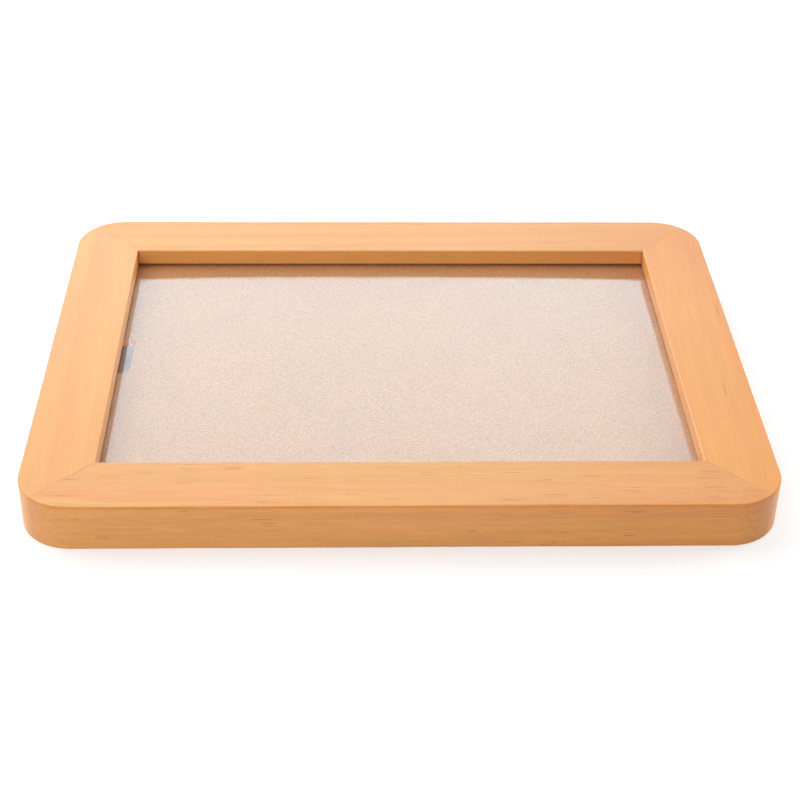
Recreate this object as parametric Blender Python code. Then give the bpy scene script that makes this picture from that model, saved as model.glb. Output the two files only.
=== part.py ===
"""A wooden photo frame for a 127 x 178 mm picture, lying on its back with its face up.

Four mitred pine rails are rebated twice behind. The first rebate holds a clear plastic sheet and
a fibre backing board. The second lies level with the back of the board and carries four steel
turn buttons on screws and two toothed hangers on nails, so that nothing stands out past the
back of the rails. One V-nail in each corner ties the mitre together.

Metres, +Z out of the picture's face, +X along its long side. The origin is the middle of the
back face.
"""

import math

import bmesh
import bpy
from mathutils import Matrix, Vector

for item in list(bpy.data.objects):
    bpy.data.objects.remove(item, do_unlink=True)

# Picture, clear sheet and backing board
PICTURE_LENGTH = 0.1780
PICTURE_HEIGHT = 0.1270
CLEAR_SHEET_THICKNESS = 0.0008
CLEAR_SHEET_EDGE = 0.00015
BOARD_THICKNESS = 0.0030
NOTCH_LENGTH = 0.0200
NOTCH_DEPTH = 0.0074
NOTCH_RADIUS = 0.0030
NOTCH_OFFSET = 0.0043

# Rail moulding
RIM_WIDTH = 0.0070
LIP_COVER = 0.0039
LIP_DEPTH = 0.0051
HARDWARE_DEPTH = 0.0049
CORNER_RADIUS = 0.0150
OUTER_ARRIS = 0.0004
SIGHT_ARRIS = 0.0004
LIP_ARRIS = 0.0003

# Clearances
SEAT_GAP = 0.0003
MITRE_GAP = 0.0003
FIT_CLEARANCE = 0.0011
BUTTON_SIDE_GAP = 0.0005
CUT_OVERRUN = 0.0010

# Turn buttons and their screws
BUTTON_WIDTH = 0.0074
BUTTON_REACH = 0.0115
BUTTON_TIP_RADIUS = 0.0030
BUTTON_SHEET = 0.0010
BUTTON_NOSE = 0.0036
BUTTON_NOSE_RAISE = 0.0009
BUTTON_PLACE_SHARES = (-0.3, 0.3)
SCREW_LENGTH = 0.0085
SCREW_RADIUS = 0.0012
SCREW_POINT = 0.0025
SCREW_HEAD_RADIUS = 0.0027
SCREW_HEAD_HEIGHT = 0.0014
SCREW_HEAD_RIM = 0.0005

# Toothed hangers and their nails
HANGER_WIDTH = 0.0070
HANGER_SHEET = 0.0008
HANGER_RAISE = 0.0012
HANGER_PAD = 0.0070
HANGER_JOGGLE = 0.0020
HANGER_END_RADIUS = 0.0022
TOOTH_PITCH = 0.0027
TOOTH_DEPTH = 0.0016
TOOTH_COUNT = 10
NAIL_LENGTH = 0.0060
NAIL_RADIUS = 0.00065
NAIL_POINT = 0.0014
NAIL_HEAD_RADIUS = 0.0017
NAIL_HEAD_HEIGHT = 0.0005

# V-nails across the mitres
VNAIL_LEG = 0.0045
VNAIL_DEPTH = 0.0070
VNAIL_SHEET = 0.0005
VNAIL_MARGIN = 0.0022

# Rounding, counted in flats
CORNER_STEPS = 8
ARRIS_STEPS = 2
END_ROUND_STEPS = 8
ROUND_STEPS = 16
DOME_STEPS = 4
END_STEPS = 4
SMOOTH_ANGLE = math.radians(32)

# Sizes that follow from the ones above
LEDGE_WIDTH = BUTTON_WIDTH + 2 * BUTTON_SIDE_GAP
LEDGE_MIDDLE = RIM_WIDTH + LEDGE_WIDTH / 2
RABBET_WALL = RIM_WIDTH + LEDGE_WIDTH
RAIL_WIDTH = RABBET_WALL + FIT_CLEARANCE + LIP_COVER
SIGHT_LENGTH = PICTURE_LENGTH - 2 * LIP_COVER
SIGHT_HEIGHT = PICTURE_HEIGHT - 2 * LIP_COVER
FRAME_LENGTH = SIGHT_LENGTH + 2 * RAIL_WIDTH
FRAME_HEIGHT = SIGHT_HEIGHT + 2 * RAIL_WIDTH
BOARD_BACK = HARDWARE_DEPTH
BOARD_FRONT = BOARD_BACK + BOARD_THICKNESS
CLEAR_SHEET_BACK = BOARD_FRONT + SEAT_GAP
CLEAR_SHEET_FRONT = CLEAR_SHEET_BACK + CLEAR_SHEET_THICKNESS
LIP_BACK = CLEAR_SHEET_FRONT + SEAT_GAP
RAIL_THICKNESS = LIP_BACK + LIP_DEPTH
HARDWARE_SEAT = HARDWARE_DEPTH - SEAT_GAP
HANGER_LENGTH = TOOTH_COUNT * TOOTH_PITCH + 2 * (HANGER_JOGGLE + HANGER_PAD)

# Each side of the frame: the turn about Z that brings a near rail there, its length and its distance
SIDES = {
    "near": (0, FRAME_LENGTH, FRAME_HEIGHT / 2),
    "right": (90, FRAME_HEIGHT, FRAME_LENGTH / 2),
    "far": (180, FRAME_LENGTH, FRAME_HEIGHT / 2),
    "left": (270, FRAME_HEIGHT, FRAME_LENGTH / 2),
}


def finish(name, colour, roughness, metallic=0.0, transmission=0.0):
    """Make a plain material."""
    material = bpy.data.materials.new(name)
    material.use_nodes = True
    shader = material.node_tree.nodes["Principled BSDF"]
    shader.inputs["Base Color"].default_value = (*colour, 1.0)
    shader.inputs["Roughness"].default_value = roughness
    shader.inputs["Metallic"].default_value = metallic
    shader.inputs["Transmission Weight"].default_value = transmission
    return material


PINE = finish("lacquered_pine", (0.90, 0.50, 0.24), 0.35)
FIBREBOARD = finish("brown_fibreboard", (0.52, 0.36, 0.24), 0.85)
CLEAR_PLASTIC = finish("clear_plastic", (0.95, 0.97, 0.96), 0.02, transmission=1.0)
PLATED_STEEL = finish("plated_steel", (0.62, 0.60, 0.56), 0.30, metallic=1.0)


def closed_mesh(name, points, faces):
    """Make a closed mesh with its faces pointing out and its round parts smooth."""
    shell = bmesh.new()
    corners = [shell.verts.new(point) for point in points]
    for face in faces:
        shell.faces.new([corners[index] for index in face])
    bmesh.ops.recalc_face_normals(shell, faces=shell.faces)
    mesh = bpy.data.meshes.new(name)
    shell.to_mesh(mesh)
    shell.free()
    mesh.shade_smooth()
    mesh.set_sharp_from_angle(angle=SMOOTH_ANGLE)
    return mesh


def lofted(name, loops):
    """Join closed loops of one count, each to the next, and fill the first and the last."""
    count = len(loops[0])
    points = [point for loop in loops for point in loop]
    faces = [tuple(range(count)), tuple(range(len(points) - count, len(points)))]
    for row in range(len(loops) - 1):
        for step in range(count):
            here = row * count + step
            beside = row * count + (step + 1) % count
            faces.append((here, beside, beside + count, here + count))
    return closed_mesh(name, points, faces)


def plate(name, outline, low, high):
    """Raise an outline of (x, y) points from one height to another."""
    return lofted(name, [[(x, y, z) for x, y in outline] for z in (low, high)])


def turned(name, profile, steps):
    """Turn a profile of (radius, height) about Z. It starts and ends on the axis."""
    points = [(0, 0, profile[0][1])]
    for radius, height in profile[1:-1]:
        for step in range(steps):
            angle = math.tau * step / steps
            points.append((radius * math.cos(angle), radius * math.sin(angle), height))
    points.append((0, 0, profile[-1][1]))
    last = len(points) - 1
    faces = []
    for step in range(steps):
        beside = (step + 1) % steps
        faces.append((0, 1 + step, 1 + beside))
        faces.append((last, last - steps + step, last - steps + beside))
        for row in range(len(profile) - 3):
            first = 1 + row * steps
            faces.append((first + step, first + beside, first + steps + beside, first + steps + step))
    return closed_mesh(name, points, faces)


def arc(centre_x, centre_y, radius, start, end, steps):
    """Points along an arc from one angle to another, in degrees."""
    angles = [math.radians(start + (end - start) * step / steps) for step in range(steps + 1)]
    return [(centre_x + radius * math.cos(a), centre_y + radius * math.sin(a)) for a in angles]


def add(name, mesh, material, matrix):
    """Put a piece in the scene."""
    piece = bpy.data.objects.new(name, mesh)
    if not mesh.materials:
        mesh.materials.append(material)
    piece.matrix_world = matrix
    bpy.context.scene.collection.objects.link(piece)
    return piece


def cut(piece, cutter_mesh, matrix):
    """Cut a shape out of a piece."""
    cutter = bpy.data.objects.new(cutter_mesh.name, cutter_mesh)
    cutter.matrix_world = matrix
    cutter.hide_render = True
    cutter.display_type = "WIRE"
    bpy.context.scene.collection.objects.link(cutter)
    boolean = piece.modifiers.new(cutter_mesh.name, "BOOLEAN")
    boolean.operation = "DIFFERENCE"
    boolean.solver = "EXACT"
    boolean.object = cutter


def drill(piece, name, radius, low, high, matrix, steps):
    """Drill a round hole along Z."""
    cut(piece, plate(name, arc(0, 0, radius, 0, 360, steps)[:-1], low, high), matrix)


def side_place(side, along=0, inward=0, height=0):
    """The place on a side: along its rail, inward from the outer face, and above the back."""
    turn, _, distance = SIDES[side]
    turned_to_side = Matrix.Rotation(math.radians(turn), 4, "Z")
    return turned_to_side @ Matrix.Translation(Vector((along, inward - distance, height)))


def rail_section():
    """The moulding's section: (inward, height, follows the rounded corner) for each point."""
    turn = [math.pi / 2 * step / ARRIS_STEPS for step in range(ARRIS_STEPS + 1)]
    low_arris = [(OUTER_ARRIS * (1 - math.sin(a)), OUTER_ARRIS * (1 - math.cos(a)), True) for a in turn]
    high_arris = [(inward, RAIL_THICKNESS - height, True) for inward, height, _ in reversed(low_arris)]
    sight_arris = [
        (
            RAIL_WIDTH - SIGHT_ARRIS * (1 - math.sin(a)),
            RAIL_THICKNESS - SIGHT_ARRIS * (1 - math.cos(a)),
            False,
        )
        for a in turn
    ]
    rebates = [
        (RAIL_WIDTH, LIP_BACK + LIP_ARRIS, False),
        (RAIL_WIDTH - LIP_ARRIS, LIP_BACK, False),
        (RABBET_WALL, LIP_BACK, False),
        (RABBET_WALL, HARDWARE_DEPTH, False),
        (RIM_WIDTH, HARDWARE_DEPTH, False),
        (RIM_WIDTH, 0, False),
    ]
    return low_arris + high_arris + sight_arris + rebates


def rail_end(length):
    """Loops of the section towards one mitre.

    The outer arrises run round the plan corner and stop at the mitre. Everything inside runs
    straight into it, as a moulding does that is cut first and rounded after it is glued.
    """
    half = length / 2
    mitre = half - MITRE_GAP / math.sqrt(2)
    start = half - max(RAIL_WIDTH, CORNER_RADIUS) - CORNER_RADIUS / CORNER_STEPS
    loops = [[(start, inward, height) for inward, height, _ in rail_section()]]
    for step in range(CORNER_STEPS + 1):
        loop = []
        for inward, height, rounds in rail_section():
            if rounds:
                radius = CORNER_RADIUS - inward
                stop = math.pi / 4 - math.asin((half - mitre) / (math.sqrt(2) * radius))
                angle = stop * step / CORNER_STEPS
                along = half - CORNER_RADIUS + radius * math.sin(angle)
                loop.append((along, CORNER_RADIUS - radius * math.cos(angle), height))
            else:
                share = (step + 1) / (CORNER_STEPS + 1)
                loop.append((start + (mitre - inward - start) * share, inward, height))
        loops.append(loop)
    return loops


def rail_mesh(name, length):
    """A rail, with its outer face on y = 0 and both its ends mitred."""
    right = rail_end(length)
    left = [[(-x, y, z) for x, y, z in loop] for loop in right]
    return lofted(name, list(reversed(left)) + right)


RAILS = {}
for side, (_, rail_length, _) in SIDES.items():
    RAILS[side] = add(side + "_rail", rail_mesh(side + "_rail", rail_length), PINE, side_place(side))


# Clear sheet, laid in the front of the rebate
sheet_shell = bmesh.new()
sheet_size = Matrix.Diagonal((PICTURE_LENGTH, PICTURE_HEIGHT, CLEAR_SHEET_THICKNESS, 1))
bmesh.ops.create_cube(sheet_shell, size=1, matrix=sheet_size)
sheet_mesh = bpy.data.meshes.new("clear_sheet")
sheet_shell.to_mesh(sheet_mesh)
sheet_shell.free()
sheet_place = Matrix.Translation(Vector((0, 0, CLEAR_SHEET_BACK + CLEAR_SHEET_THICKNESS / 2)))
clear_sheet = add("clear_sheet", sheet_mesh, CLEAR_PLASTIC, sheet_place)
edge = clear_sheet.modifiers.new("broken_edges", "BEVEL")
edge.width = CLEAR_SHEET_EDGE
edge.segments = 1
edge.limit_method = "ANGLE"


def board_outline():
    """The backing board, with the finger notch in its left edge."""
    half_x = PICTURE_LENGTH / 2
    half_y = PICTURE_HEIGHT / 2
    top = NOTCH_OFFSET + NOTCH_LENGTH / 2
    bottom = NOTCH_OFFSET - NOTCH_LENGTH / 2
    centre_x = NOTCH_DEPTH - NOTCH_RADIUS - half_x
    notch = [(-half_x, top)]
    notch += arc(centre_x, top - NOTCH_RADIUS, NOTCH_RADIUS, 90, 0, CORNER_STEPS)
    notch += arc(centre_x, bottom + NOTCH_RADIUS, NOTCH_RADIUS, 0, -90, CORNER_STEPS)
    notch += [(-half_x, bottom)]
    return [(half_x, -half_y), (half_x, half_y), (-half_x, half_y)] + notch + [(-half_x, -half_y)]


add(
    "backing_board",
    plate("backing_board", board_outline(), BOARD_BACK, BOARD_FRONT),
    FIBREBOARD,
    Matrix.Identity(4),
)


def button_loops():
    """A turn button along Y: round about its pivot, then a tongue that ends in a raised nose.

    The nose is bent off the board, so that the tongue rides up on the board's edge as it turns.
    """
    heel = BUTTON_WIDTH / 2
    tip = BUTTON_REACH - BUTTON_TIP_RADIUS
    bend = BUTTON_REACH - BUTTON_NOSE
    half_at_bend = heel + (BUTTON_TIP_RADIUS - heel) * bend / tip
    round_end = arc(0, 0, 1, 0, 90, END_ROUND_STEPS)
    stations = [(-heel * away, heel * half) for away, half in round_end[1:]]
    stations.append((bend, half_at_bend))
    stations += [(tip + BUTTON_TIP_RADIUS * y, BUTTON_TIP_RADIUS * half) for half, y in round_end[:-1]]
    loops = []
    for y, half in stations:
        top = -BUTTON_NOSE_RAISE * max(0, y - bend) / BUTTON_NOSE
        bottom = top - BUTTON_SHEET
        loops.append([(-half, y, top), (half, y, top), (half, y, bottom), (-half, y, bottom)])
    return loops


def screw_profile():
    """A pan-head wood screw, head down: (radius, height) from the head's crown to the point."""
    crown = -SCREW_HEAD_HEIGHT
    dome_height = SCREW_HEAD_HEIGHT - SCREW_HEAD_RIM
    dome = []
    for step in range(DOME_STEPS + 1):
        angle = math.pi / 2 * step / DOME_STEPS
        dome.append((SCREW_HEAD_RADIUS * math.sin(angle), crown + dome_height * (1 - math.cos(angle))))
    return dome + [
        (SCREW_HEAD_RADIUS, 0),
        (SCREW_RADIUS, 0),
        (SCREW_RADIUS, SCREW_LENGTH - SCREW_POINT),
        (0, SCREW_LENGTH),
    ]


button_mesh = lofted("turn_button", button_loops())
screw_mesh = turned("button_screw", screw_profile(), ROUND_STEPS)
screw_seat = HARDWARE_SEAT - BUTTON_SHEET - SEAT_GAP
screw_hole = SCREW_RADIUS + SEAT_GAP
for side in ("near", "far"):
    for share in BUTTON_PLACE_SHARES:
        along = share * SIGHT_LENGTH
        pivot = side_place(side, along, LEDGE_MIDDLE, HARDWARE_SEAT)
        hand = "left" if pivot.translation.x < 0 else "right"
        place_name = side + "_" + hand
        button = add("turn_button_" + place_name, button_mesh, PLATED_STEEL, pivot)
        drill(
            button,
            "button_hole_" + place_name,
            screw_hole,
            -BUTTON_SHEET - CUT_OVERRUN,
            CUT_OVERRUN,
            pivot,
            ROUND_STEPS,
        )
        seat = side_place(side, along, LEDGE_MIDDLE, screw_seat)
        add("button_screw_" + place_name, screw_mesh, PLATED_STEEL, seat)
        drill(
            RAILS[side],
            "screw_hole_" + place_name,
            screw_hole,
            0,
            SCREW_LENGTH + SEAT_GAP,
            seat,
            ROUND_STEPS,
        )


def hanger_loops():
    """A toothed hanger along X: flat end pads, a joggle, and a raised middle toothed towards +Y."""
    half = HANGER_LENGTH / 2
    edge = HANGER_WIDTH / 2
    toothed = TOOTH_COUNT * TOOTH_PITCH / 2
    corner = arc(HANGER_END_RADIUS - half, 0, HANGER_END_RADIUS, 180, 90, END_STEPS)
    stations = [(x, HANGER_END_RADIUS - y, 0, 0) for x, y in corner]
    stations.append((-toothed - HANGER_JOGGLE, 0, 0, 0))
    for step in range(TOOTH_COUNT + 1):
        stations.append((step * TOOTH_PITCH - toothed, 0, TOOTH_DEPTH, HANGER_RAISE))
        if step < TOOTH_COUNT:
            stations.append(((step + 0.5) * TOOTH_PITCH - toothed, 0, 0, HANGER_RAISE))
    stations.append((toothed + HANGER_JOGGLE, 0, 0, 0))
    stations += [(-x, HANGER_END_RADIUS - y, 0, 0) for x, y in reversed(corner)]
    loops = []
    for x, inset, notch, drop in stations:
        low, high = inset - edge, edge - inset - notch
        top, bottom = -drop, -drop - HANGER_SHEET
        loops.append([(x, low, top), (x, high, top), (x, high, bottom), (x, low, bottom)])
    return loops


def nail_profile():
    """A flat-head nail, head down."""
    return [
        (0, -NAIL_HEAD_HEIGHT),
        (NAIL_HEAD_RADIUS, -NAIL_HEAD_HEIGHT),
        (NAIL_HEAD_RADIUS, 0),
        (NAIL_RADIUS, 0),
        (NAIL_RADIUS, NAIL_LENGTH - NAIL_POINT),
        (0, NAIL_LENGTH),
    ]


hanger_mesh = lofted("toothed_hanger", hanger_loops())
nail_mesh = turned("hanger_nail", nail_profile(), ROUND_STEPS)
nail_seat = HARDWARE_SEAT - HANGER_SHEET - SEAT_GAP
nail_hole = NAIL_RADIUS + SEAT_GAP
nail_reach = (HANGER_LENGTH - HANGER_PAD) / 2
for side, use in (("far", "landscape"), ("right", "portrait")):
    middle = side_place(side, 0, LEDGE_MIDDLE, HARDWARE_SEAT)
    hanger = add("hanger_" + use, hanger_mesh, PLATED_STEEL, middle)
    for end, along in (("first", -nail_reach), ("second", nail_reach)):
        place_name = use + "_" + end
        hole = side_place(side, along, LEDGE_MIDDLE, HARDWARE_SEAT)
        drill(
            hanger,
            "hanger_hole_" + place_name,
            nail_hole,
            -HANGER_SHEET - CUT_OVERRUN,
            CUT_OVERRUN,
            hole,
            ROUND_STEPS,
        )
        seat = side_place(side, along, LEDGE_MIDDLE, nail_seat)
        add("hanger_nail_" + place_name, nail_mesh, PLATED_STEEL, seat)
        drill(
            RAILS[side],
            "nail_hole_" + place_name,
            nail_hole,
            0,
            NAIL_LENGTH + SEAT_GAP,
            seat,
            ROUND_STEPS,
        )


def vnail_outline(gap):
    """A V-nail's section: two legs that meet towards the corner, each grown by gap all round."""
    heel = VNAIL_SHEET + gap
    foot = VNAIL_LEG + gap
    return [(gap, gap), (-foot, gap), (-foot, -heel), (-heel, -heel), (-heel, -foot), (gap, -foot)]


vnail_mesh = plate("v_nail", vnail_outline(0), 0, VNAIL_DEPTH)
apex_x = FRAME_LENGTH / 2 - RIM_WIDTH - VNAIL_MARGIN
apex_y = FRAME_HEIGHT / 2 - RIM_WIDTH - VNAIL_MARGIN
for long_side, short_side, sign_x, sign_y, turn in (
    ("far", "right", 1, 1, 0),
    ("far", "left", -1, 1, 90),
    ("near", "left", -1, -1, 180),
    ("near", "right", 1, -1, 270),
):
    corner = long_side + "_" + short_side
    apex = Vector((sign_x * apex_x, sign_y * apex_y, HARDWARE_DEPTH + SEAT_GAP))
    place = Matrix.Translation(apex) @ Matrix.Rotation(math.radians(turn), 4, "Z")
    add("v_nail_" + corner, vnail_mesh, PLATED_STEEL, place)
    for rail_side in (long_side, short_side):
        kerf = plate(
            "kerf_" + corner + "_" + rail_side,
            vnail_outline(SEAT_GAP),
            -SEAT_GAP - CUT_OVERRUN,
            VNAIL_DEPTH + SEAT_GAP,
        )
        cut(RAILS[rail_side], kerf, place)
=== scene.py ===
import math

import bmesh
import bpy
from mathutils import Matrix, Vector


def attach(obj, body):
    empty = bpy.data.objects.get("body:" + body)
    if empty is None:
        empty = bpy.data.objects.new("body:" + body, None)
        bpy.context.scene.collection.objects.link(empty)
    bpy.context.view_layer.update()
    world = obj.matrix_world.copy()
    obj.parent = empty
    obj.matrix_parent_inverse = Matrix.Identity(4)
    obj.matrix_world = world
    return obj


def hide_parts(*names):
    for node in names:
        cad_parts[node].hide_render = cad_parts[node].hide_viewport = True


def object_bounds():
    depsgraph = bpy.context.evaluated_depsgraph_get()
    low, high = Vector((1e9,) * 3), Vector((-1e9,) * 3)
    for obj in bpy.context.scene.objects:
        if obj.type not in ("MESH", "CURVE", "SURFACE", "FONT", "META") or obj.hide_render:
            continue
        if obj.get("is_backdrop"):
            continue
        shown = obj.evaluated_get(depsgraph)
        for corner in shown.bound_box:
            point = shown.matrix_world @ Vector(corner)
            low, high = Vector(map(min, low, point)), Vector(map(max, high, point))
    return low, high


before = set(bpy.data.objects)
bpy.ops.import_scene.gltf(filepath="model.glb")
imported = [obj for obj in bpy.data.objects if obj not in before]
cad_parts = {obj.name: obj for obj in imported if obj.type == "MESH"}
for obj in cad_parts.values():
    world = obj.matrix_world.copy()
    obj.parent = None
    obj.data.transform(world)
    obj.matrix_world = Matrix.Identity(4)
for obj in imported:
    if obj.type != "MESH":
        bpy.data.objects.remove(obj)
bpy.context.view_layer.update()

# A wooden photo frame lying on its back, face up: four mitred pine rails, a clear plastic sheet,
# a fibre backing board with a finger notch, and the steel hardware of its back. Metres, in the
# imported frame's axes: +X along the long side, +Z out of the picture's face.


# Rails. Four lengths of one pine moulding, rebated twice behind, mitred and glued. The corners
# were rounded and the outer arrises broken by hand after gluing, so both run across the mitres.
# Then the whole frame was sprayed with clear orange lacquer.

FRAME_LENGTH = 0.2110
FRAME_HEIGHT = 0.1600
RAIL_WIDTH = 0.0204
RAIL_THICKNESS = 0.0144
RIM_WIDTH = 0.0070
REBATE_WALL = 0.0154
HARDWARE_DEPTH = 0.0049
LIP_BACK = 0.0093
CORNER_RADIUS = 0.0150
OUTER_ARRIS = 0.00042
SANDING_WAVE = 0.00006
SIGHT_ARRIS = 0.0004
LIP_ARRIS = 0.00012
ARRIS_MARGIN = 0.0003
SIGHT_PAINTED_LIGHT = -0.35
# Painted light: how much paler than the wood the inner wall is drawn
MITRE_JOINT = 0.00002
MITRE_LINE = 0.0002
MITRE_MARGIN = 0.0010
STRAIGHT_STEP = 0.0030
CORNER_STEPS = 14
ARRIS_STEPS = 5
SAME_PLACE = 0.000001
SHARP_BEND = math.radians(32)

# Each side's turn about Z from the near one, its length, and its distance from the middle
SIDES = {
    "near": (0, FRAME_LENGTH, FRAME_HEIGHT / 2),
    "right": (90, FRAME_HEIGHT, FRAME_LENGTH / 2),
    "far": (180, FRAME_LENGTH, FRAME_HEIGHT / 2),
    "left": (270, FRAME_HEIGHT, FRAME_LENGTH / 2),
}


def side_place(side, along=0.0, inward=0.0, height=0.0):
    """The place on a side: along its rail, inward from the outer face, and above the back."""
    turn, _, distance = SIDES[side]
    turned_to_side = Matrix.Rotation(math.radians(turn), 4, "Z")
    return turned_to_side @ Matrix.Translation(Vector((along, inward - distance, height)))


def sanding_wave(along, face):
    """How much more than its plain radius the sandpaper took off an arris."""
    return SANDING_WAVE * (
        math.sin(along * 83 + face)
        + 0.6 * math.sin(along * 197 + 2.3 * face)
        + 0.4 * math.sin(along * 411 + 0.7 * face)
    )


def moulding_section(wave):
    """The moulding's section: (inward, height, follows the rounded corner, on an arris).

    On the outer arrises, which are darker, the last is above 0. On the sight side it is below 0,
    which paints light: a highlight on the sight arris and a paler inner wall. On the lip's lower
    arris it is 1, which paints shade in the crevice under the lip.
    """
    quarter = [math.pi / 2 * step / ARRIS_STEPS for step in range(ARRIS_STEPS + 1)]
    radius = OUTER_ARRIS + wave
    margin = radius + ARRIS_MARGIN
    section = [(margin, 0, True, 0)]
    section += [(radius * (1 - math.sin(a)), radius * (1 - math.cos(a)), True, 0.3) for a in quarter]
    section += [(0, margin, True, 0), (0, RAIL_THICKNESS - margin, True, 0)]
    for a in reversed(quarter):
        height = RAIL_THICKNESS - radius * (1 - math.cos(a))
        section.append((radius * (1 - math.sin(a)), height, True, min(1, 1.2 * a)))
    section += [(margin, RAIL_THICKNESS, True, 0)]
    section += [(RAIL_WIDTH - SIGHT_ARRIS - ARRIS_MARGIN, RAIL_THICKNESS, False, 0)]
    # The sight arris is paler towards its middle: a painted highlight
    for a in quarter:
        inward = RAIL_WIDTH - SIGHT_ARRIS * (1 - math.sin(a))
        height = RAIL_THICKNESS - SIGHT_ARRIS * (1 - math.cos(a))
        section.append((inward, height, False, -math.sin(2 * a)))
    return section + [
        (RAIL_WIDTH, RAIL_THICKNESS - SIGHT_ARRIS - ARRIS_MARGIN, False, SIGHT_PAINTED_LIGHT),
        (RAIL_WIDTH, LIP_BACK + LIP_ARRIS + ARRIS_MARGIN, False, SIGHT_PAINTED_LIGHT),
        # The lip's lower arris takes the darker edge colour: a painted shade in the crevice under the lip
        (RAIL_WIDTH, LIP_BACK + LIP_ARRIS, False, 1),
        (RAIL_WIDTH - LIP_ARRIS, LIP_BACK, False, 1),
        (REBATE_WALL, LIP_BACK, False, 0),
        (REBATE_WALL, HARDWARE_DEPTH, False, 0),
        (RIM_WIDTH, HARDWARE_DEPTH, False, 0),
        (RIM_WIDTH, 0, False, 0),
    ]


def moulding_end(length, hand, face):
    """Loops of (point, arris, mitre) from the straight part to one mitre of a rail."""
    half = length / 2
    start = half - RAIL_WIDTH - MITRE_MARGIN
    shares = [step / CORNER_STEPS for step in range(CORNER_STEPS + 1)]
    loops = []
    for row in range(CORNER_STEPS + 2):
        loop = []
        for inward, height, rounds, arris in moulding_section(sanding_wave(hand * start, face)):
            short = MITRE_LINE if row == CORNER_STEPS else 0
            share = shares[min(row, CORNER_STEPS)]
            mitre = 1 if row > CORNER_STEPS else 0
            end = half - MITRE_JOINT / math.sqrt(2)
            if rounds:
                radius = CORNER_RADIUS - inward
                joint = math.asin((half - end) / (math.sqrt(2) * radius))
                angle = (math.pi / 4 - joint) * share - short / radius
                along = half - CORNER_RADIUS + radius * math.sin(max(angle, 0))
                loop.append(((along, CORNER_RADIUS - radius * math.cos(angle), height), arris, mitre))
            else:
                along = start + (end - inward - short - start) * share
                loop.append(((along, inward, height), arris, mitre))
        loops.append(loop)
    return [[((hand * x, y, z), arris, mitre) for (x, y, z), arris, mitre in loop] for loop in loops]


def shell_mesh(name, shell, sharp_bend=SHARP_BEND):
    """The shell's mesh, faces outwards, smooth but for the edges that bend more sharply."""
    bmesh.ops.recalc_face_normals(shell, faces=shell.faces)
    mesh = bpy.data.meshes.new(name)
    shell.to_mesh(mesh)
    shell.free()
    mesh.shade_smooth()
    mesh.set_sharp_from_angle(angle=sharp_bend)
    return mesh


def moulding_mesh(name, side):
    """A rail's mesh, in place, with the arrises and mitres kept as attributes."""
    face, length, _ = SIDES[side]
    half = length / 2 - RAIL_WIDTH - MITRE_MARGIN
    count = math.ceil(2 * half / STRAIGHT_STEP)
    loops = list(reversed(moulding_end(length, -1, face)))
    for step in range(count + 1):
        along = 2 * half * step / count - half
        section = moulding_section(sanding_wave(along, face))
        loops.append([((along, inward, height), arris, 0) for inward, height, _, arris in section])
    loops += moulding_end(length, 1, face)
    size = len(loops[0])
    shell = bmesh.new()
    arris_layer = shell.verts.layers.float.new("arris")
    mitre_layer = shell.verts.layers.float.new("mitre")
    corners = []
    for loop in loops:
        for point, arris, mitre in loop:
            corner = shell.verts.new(point)
            corner[arris_layer] = arris
            corner[mitre_layer] = mitre
            corners.append(corner)
    shell.faces.new(corners[:size])
    shell.faces.new(corners[-size:])
    for row in range(len(loops) - 1):
        for step in range(size):
            here = row * size + step
            beside = row * size + (step + 1) % size
            quad = [here, beside, beside + size, here + size]
            shell.faces.new([corners[index] for index in quad])
    bmesh.ops.remove_doubles(shell, verts=shell.verts, dist=SAME_PLACE)
    mesh = shell_mesh(name, shell)
    mesh.transform(side_place(side))
    return mesh


def add_node(tree, kind, inputs=None, **settings):
    """Add a node with its settings, and give its inputs, by name or number, values or links."""
    made = tree.nodes.new(kind)
    for name, value in settings.items():
        setattr(made, name, value)
    for key, value in (inputs or {}).items():
        if isinstance(value, bpy.types.NodeSocket):
            tree.links.new(value, made.inputs[key])
        else:
            made.inputs[key].default_value = value
    return made


def calculate(tree, operation, *values):
    """One Math node; the number that it gives."""
    return add_node(tree, "ShaderNodeMath", dict(enumerate(values)), operation=operation).outputs[0]


def stretch(tree, place, scale):
    """The place multiplied by how many details there are to a metre, along and across."""
    inputs = {0: place, 1: scale}
    return add_node(tree, "ShaderNodeVectorMath", inputs, operation="MULTIPLY").outputs[0]


def noise(tree, place, scale, detail=2.0):
    """Noise from 0 to 1 with that many details to a metre, along and across."""
    inputs = {"Vector": stretch(tree, place, scale), "Scale": 1.0, "Detail": detail}
    return add_node(tree, "ShaderNodeTexNoise", inputs).outputs["Fac"]


def ramp(tree, value, low, high, start=0.0, end=1.0):
    """A soft step: start up to low, end from high."""
    inputs = {"Value": value, "From Min": low, "From Max": high, "To Min": start, "To Max": end}
    kind = "SMOOTHSTEP"
    return add_node(tree, "ShaderNodeMapRange", inputs, interpolation_type=kind).outputs["Result"]


def blend_colours(tree, share, first, second, how="MIX"):
    """Mix two colours, or lay the second over the first in another way."""
    made = add_node(tree, "ShaderNodeMix", data_type="RGBA", blend_type=how)
    for key, value in ((0, share), (6, first), (7, second)):
        if isinstance(value, bpy.types.NodeSocket):
            tree.links.new(value, made.inputs[key])
        else:
            made.inputs[key].default_value = value
    return made.outputs[2]


def new_group(name, inputs, outputs):
    """A shader node group with named inputs and outputs, each (kind, default)."""
    group = bpy.data.node_groups.new(name, "ShaderNodeTree")
    for label, (kind, default) in inputs.items():
        socket = group.interface.new_socket(label, in_out="INPUT", socket_type="NodeSocket" + kind)
        if default is not None:
            socket.default_value = default
    for label, kind in outputs.items():
        group.interface.new_socket(label, in_out="OUTPUT", socket_type="NodeSocket" + kind)
    return group, group.nodes.new("NodeGroupInput").outputs, group.nodes.new("NodeGroupOutput").inputs


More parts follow.
